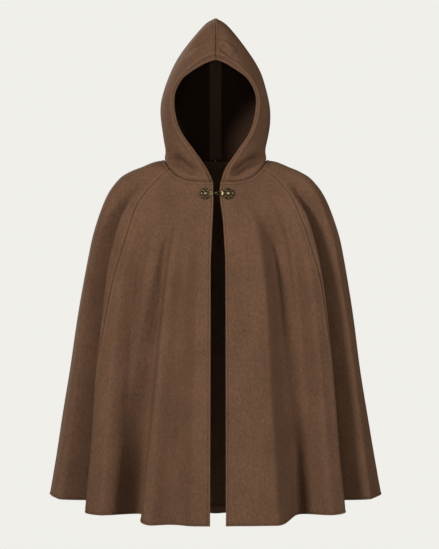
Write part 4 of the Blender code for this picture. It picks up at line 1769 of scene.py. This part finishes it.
@dataclass
class Cape:
    """The whole cape."""

    surface: BodySurface = field(default_factory=BodySurface)
    hood_creases: dict[Side, tuple[Crease, ...]] = field(
        default_factory=lambda: {
            Side.LEFT: (
                Crease(((-0.0960, 0.034), (-0.0700, 0.008), (-0.0400, -0.011)), 0.0105, 0.0170),
                Crease(((-0.0830, 0.008), (-0.0600, -0.010), (-0.0350, -0.019)), 0.0060, -0.0022),
                Crease(((-0.0900, 0.075), (-0.0750, 0.040), (-0.0560, 0.012)), 0.0090, -0.0026),
                Crease(((-0.0640, 0.236), (-0.0400, 0.256), (-0.0160, 0.270)), 0.0080, -0.0050),
                Crease(((-0.0520, 0.268), (-0.0300, 0.284), (-0.0080, 0.292)), 0.0060, 0.0045),
            ),
            Side.RIGHT: (
                Crease(((0.106, 0.034), (0.085, 0.020), (0.064, 0.004), (0.032, -0.013)), 0.0110, 0.0240),
                Crease(((0.0900, 0.006), (0.0640, -0.009), (0.0380, -0.019)), 0.0055, -0.0026),
                Crease(((0.0020, 0.290), (0.0130, 0.2895), (0.0260, 0.287)), 0.0040, 0.0026),
                Crease(((0.0040, 0.285), (0.0220, 0.276), (0.0460, 0.256)), 0.0060, -0.0052),
                Crease(((0.0050, 0.274), (0.0220, 0.262), (0.0480, 0.236)), 0.0060, 0.0056),
            ),
        }
    )

    def panels(self) -> list[ClothPiece]:
        """The five panels of the body.

        Returns:
            The panels, from the left front to the back.
        """
        surface, behind = self.surface, self.surface.back_seam
        left, right = surface.shoulder_seam(Side.LEFT), surface.shoulder_seam(Side.RIGHT)
        left_front, right_front = surface.front_edge(Side.LEFT), surface.front_edge(Side.RIGHT)
        front_cut, side_cut = Cut(0.47, 0.78, 0.224), Cut(0.36, 0.82, 0.233)
        back_cut = Cut(0.80, 0.81, 0.466)
        seam, front = Border.SEAM, Border.FRONT_EDGE
        plans = (
            ("front_left", lambda place: -left(place), left_front, seam, front, front_cut, 78),
            ("front_right", right_front, right, front, seam, front_cut, 76),
            ("side_left", lambda place: -behind(place), lambda place: -left(place), seam, seam,
             side_cut, 84),
            ("side_right", right, behind, seam, seam, side_cut, 84),
            ("back", behind, lambda place: 360.0 - behind(place), seam, seam, back_cut, 160),
        )
        return [
            ClothPiece(name, surface, start, end, (first, last, Border.NECK_BELOW, Border.HEM), cut, columns)
            for name, start, end, first, last, cut, columns in plans
        ]

    def hood(self) -> list[HoodHalf]:
        """The two halves of the hood.

        Returns:
            The left half and the right one.
        """
        borders = (Border.RIM, Border.HOOD_SEAM, Border.NECK_ABOVE, Border.HOOD_SEAM)
        halves = []
        for side in Side:
            name, surface, cut = "hood_" + side.name.lower(), HoodSurface(side), Cut(0.31, 0.38, 0.088)
            edges = (surface.opening, surface.centre_back)
            halves.append(HoodHalf(name, surface, *edges, borders, cut, 44, self.hood_creases[side]))
        return halves

    def build(self, finishes: Finishes) -> None:
        """Makes every piece of the cape.

        Args:
            finishes: Finishes of the cape.
        """
        for piece in (*self.panels(), *self.hood()):
            piece.build(finishes)
        Tapes().build(finishes)
        ClaspHalf(Side.LEFT, -0.0215, 0.0110, 0.0141, self.surface).build(finishes)
        ClaspHalf(Side.RIGHT, 0.0275, 0.0122, 0.0139, self.surface).build(finishes)


@dataclass(frozen=True)
class SoftBox:
    """Large soft lamp aimed at the cape."""

    name: str
    place: tuple[float, float, float]
    size: float
    power: float
    aim: tuple[float, float, float] = (0.0, 0.0, -0.04)
    spread: float = 60.0

    def hang(self) -> None:
        """Adds the lamp to the scene."""
        lamp = bpy.data.lights.new(self.name, "AREA")
        lamp.shape = "SQUARE"
        lamp.size = self.size
        lamp.energy = self.power
        lamp.spread = math.radians(self.spread)
        holder = linked(bpy.data.objects.new(self.name, lamp))
        holder.location = self.place
        holder.visible_camera = False
        away = Vector(self.aim) - Vector(self.place)
        holder.rotation_euler = away.to_track_quat("-Z", "Y").to_euler()


@dataclass
class Studio:
    """Camera, pale surroundings, floor and soft lamps."""

    camera_place: tuple[float, float, float] = (0.0088, -6.0, -0.2255)
    lens: float = 178.8
    paper: Colour = (0.871, 0.863, 0.823)
    ambient_colour: Colour = (1.0, 0.98, 0.95)
    ambient: float = 0.04
    floor_z: float = -1.45
    floor_radius: float = 5.0
    floor_share: float = 0.25
    floor_glow: float = 0.84
    lamps: tuple[SoftBox, ...] = (
        SoftBox("key", (-3.9, -4.5, 2.2), 1.5, 33.0),
        SoftBox("fill", (4.7, -3.7, 1.9), 1.5, 20.0),
        SoftBox("front", (0.0, -6.2, -0.1), 1.2, 2.6),
        SoftBox("back", (-2.6, 4.6, 2.2), 2.0, 36.0, spread=70.0),
        SoftBox("bounce", (0.0, -1.2, -1.42), 2.4, 4.0, (0.0, 0.1, -0.2), 170.0),
    )

    def build(self) -> None:
        """Sets up the whole studio."""
        self.camera()
        self.world()
        self.floor()
        for lamp in self.lamps:
            lamp.hang()
        bpy.context.scene.view_settings.view_transform = "Standard"

    def camera(self) -> None:
        """Long lens level with the middle of the cape."""
        lens = bpy.data.cameras.new("camera")
        lens.lens = self.lens
        lens.sensor_width = 36.0
        lens.clip_end = 50.0
        camera = linked(bpy.data.objects.new("camera", lens))
        camera.location = self.camera_place
        camera.rotation_euler = (math.radians(90.0), 0.0, 0.0)
        bpy.context.scene.camera = camera

    def world(self) -> None:
        """Pale paper all round, which lights the cape less than it shows."""
        world = bpy.data.worlds.new("paper")
        world.use_nodes = True
        bpy.context.scene.world = world
        nodes = world.node_tree.nodes
        seen = filled(nodes["Background"], {"Color": opaque(self.paper)}).outputs[0]
        light = {"Color": opaque(self.ambient_colour), "Strength": self.ambient}
        glow = filled(nodes.new("ShaderNodeBackground"), light).outputs[0]
        camera_ray = nodes.new("ShaderNodeLightPath").outputs["Is Camera Ray"]
        mix = filled(nodes.new("ShaderNodeMixShader"), {0: camera_ray, 1: glow, 2: seen})
        filled(nodes["World Output"], {"Surface": mix.outputs[0]})

    def floor(self) -> None:
        """Round pale floor under the cape, which throws no light on it."""
        mesh = bmesh.new()
        bmesh.ops.create_circle(mesh, cap_ends=True, segments=96, radius=self.floor_radius)
        data = bpy.data.meshes.new("floor")
        mesh.to_mesh(data)
        mesh.free()
        graph = blank_material("pale_floor", 0.9)
        graph.shader(Base_Color=opaque(shade(self.paper, self.floor_share)))
        graph.shader(Emission_Color=opaque(self.paper), Emission_Strength=self.floor_glow)
        data.materials.append(graph.material)
        floor = linked(bpy.data.objects.new("floor", data))
        floor.location.z = self.floor_z
        floor.visible_diffuse = False
        floor.visible_glossy = False


def main() -> None:
    """Builds the studio and the cape."""
    logging.basicConfig(level=logging.INFO, format="%(name)s %(message)s")
    Studio().build()
    Cape().build(Finishes())


if __name__ == "__main__":
    main()
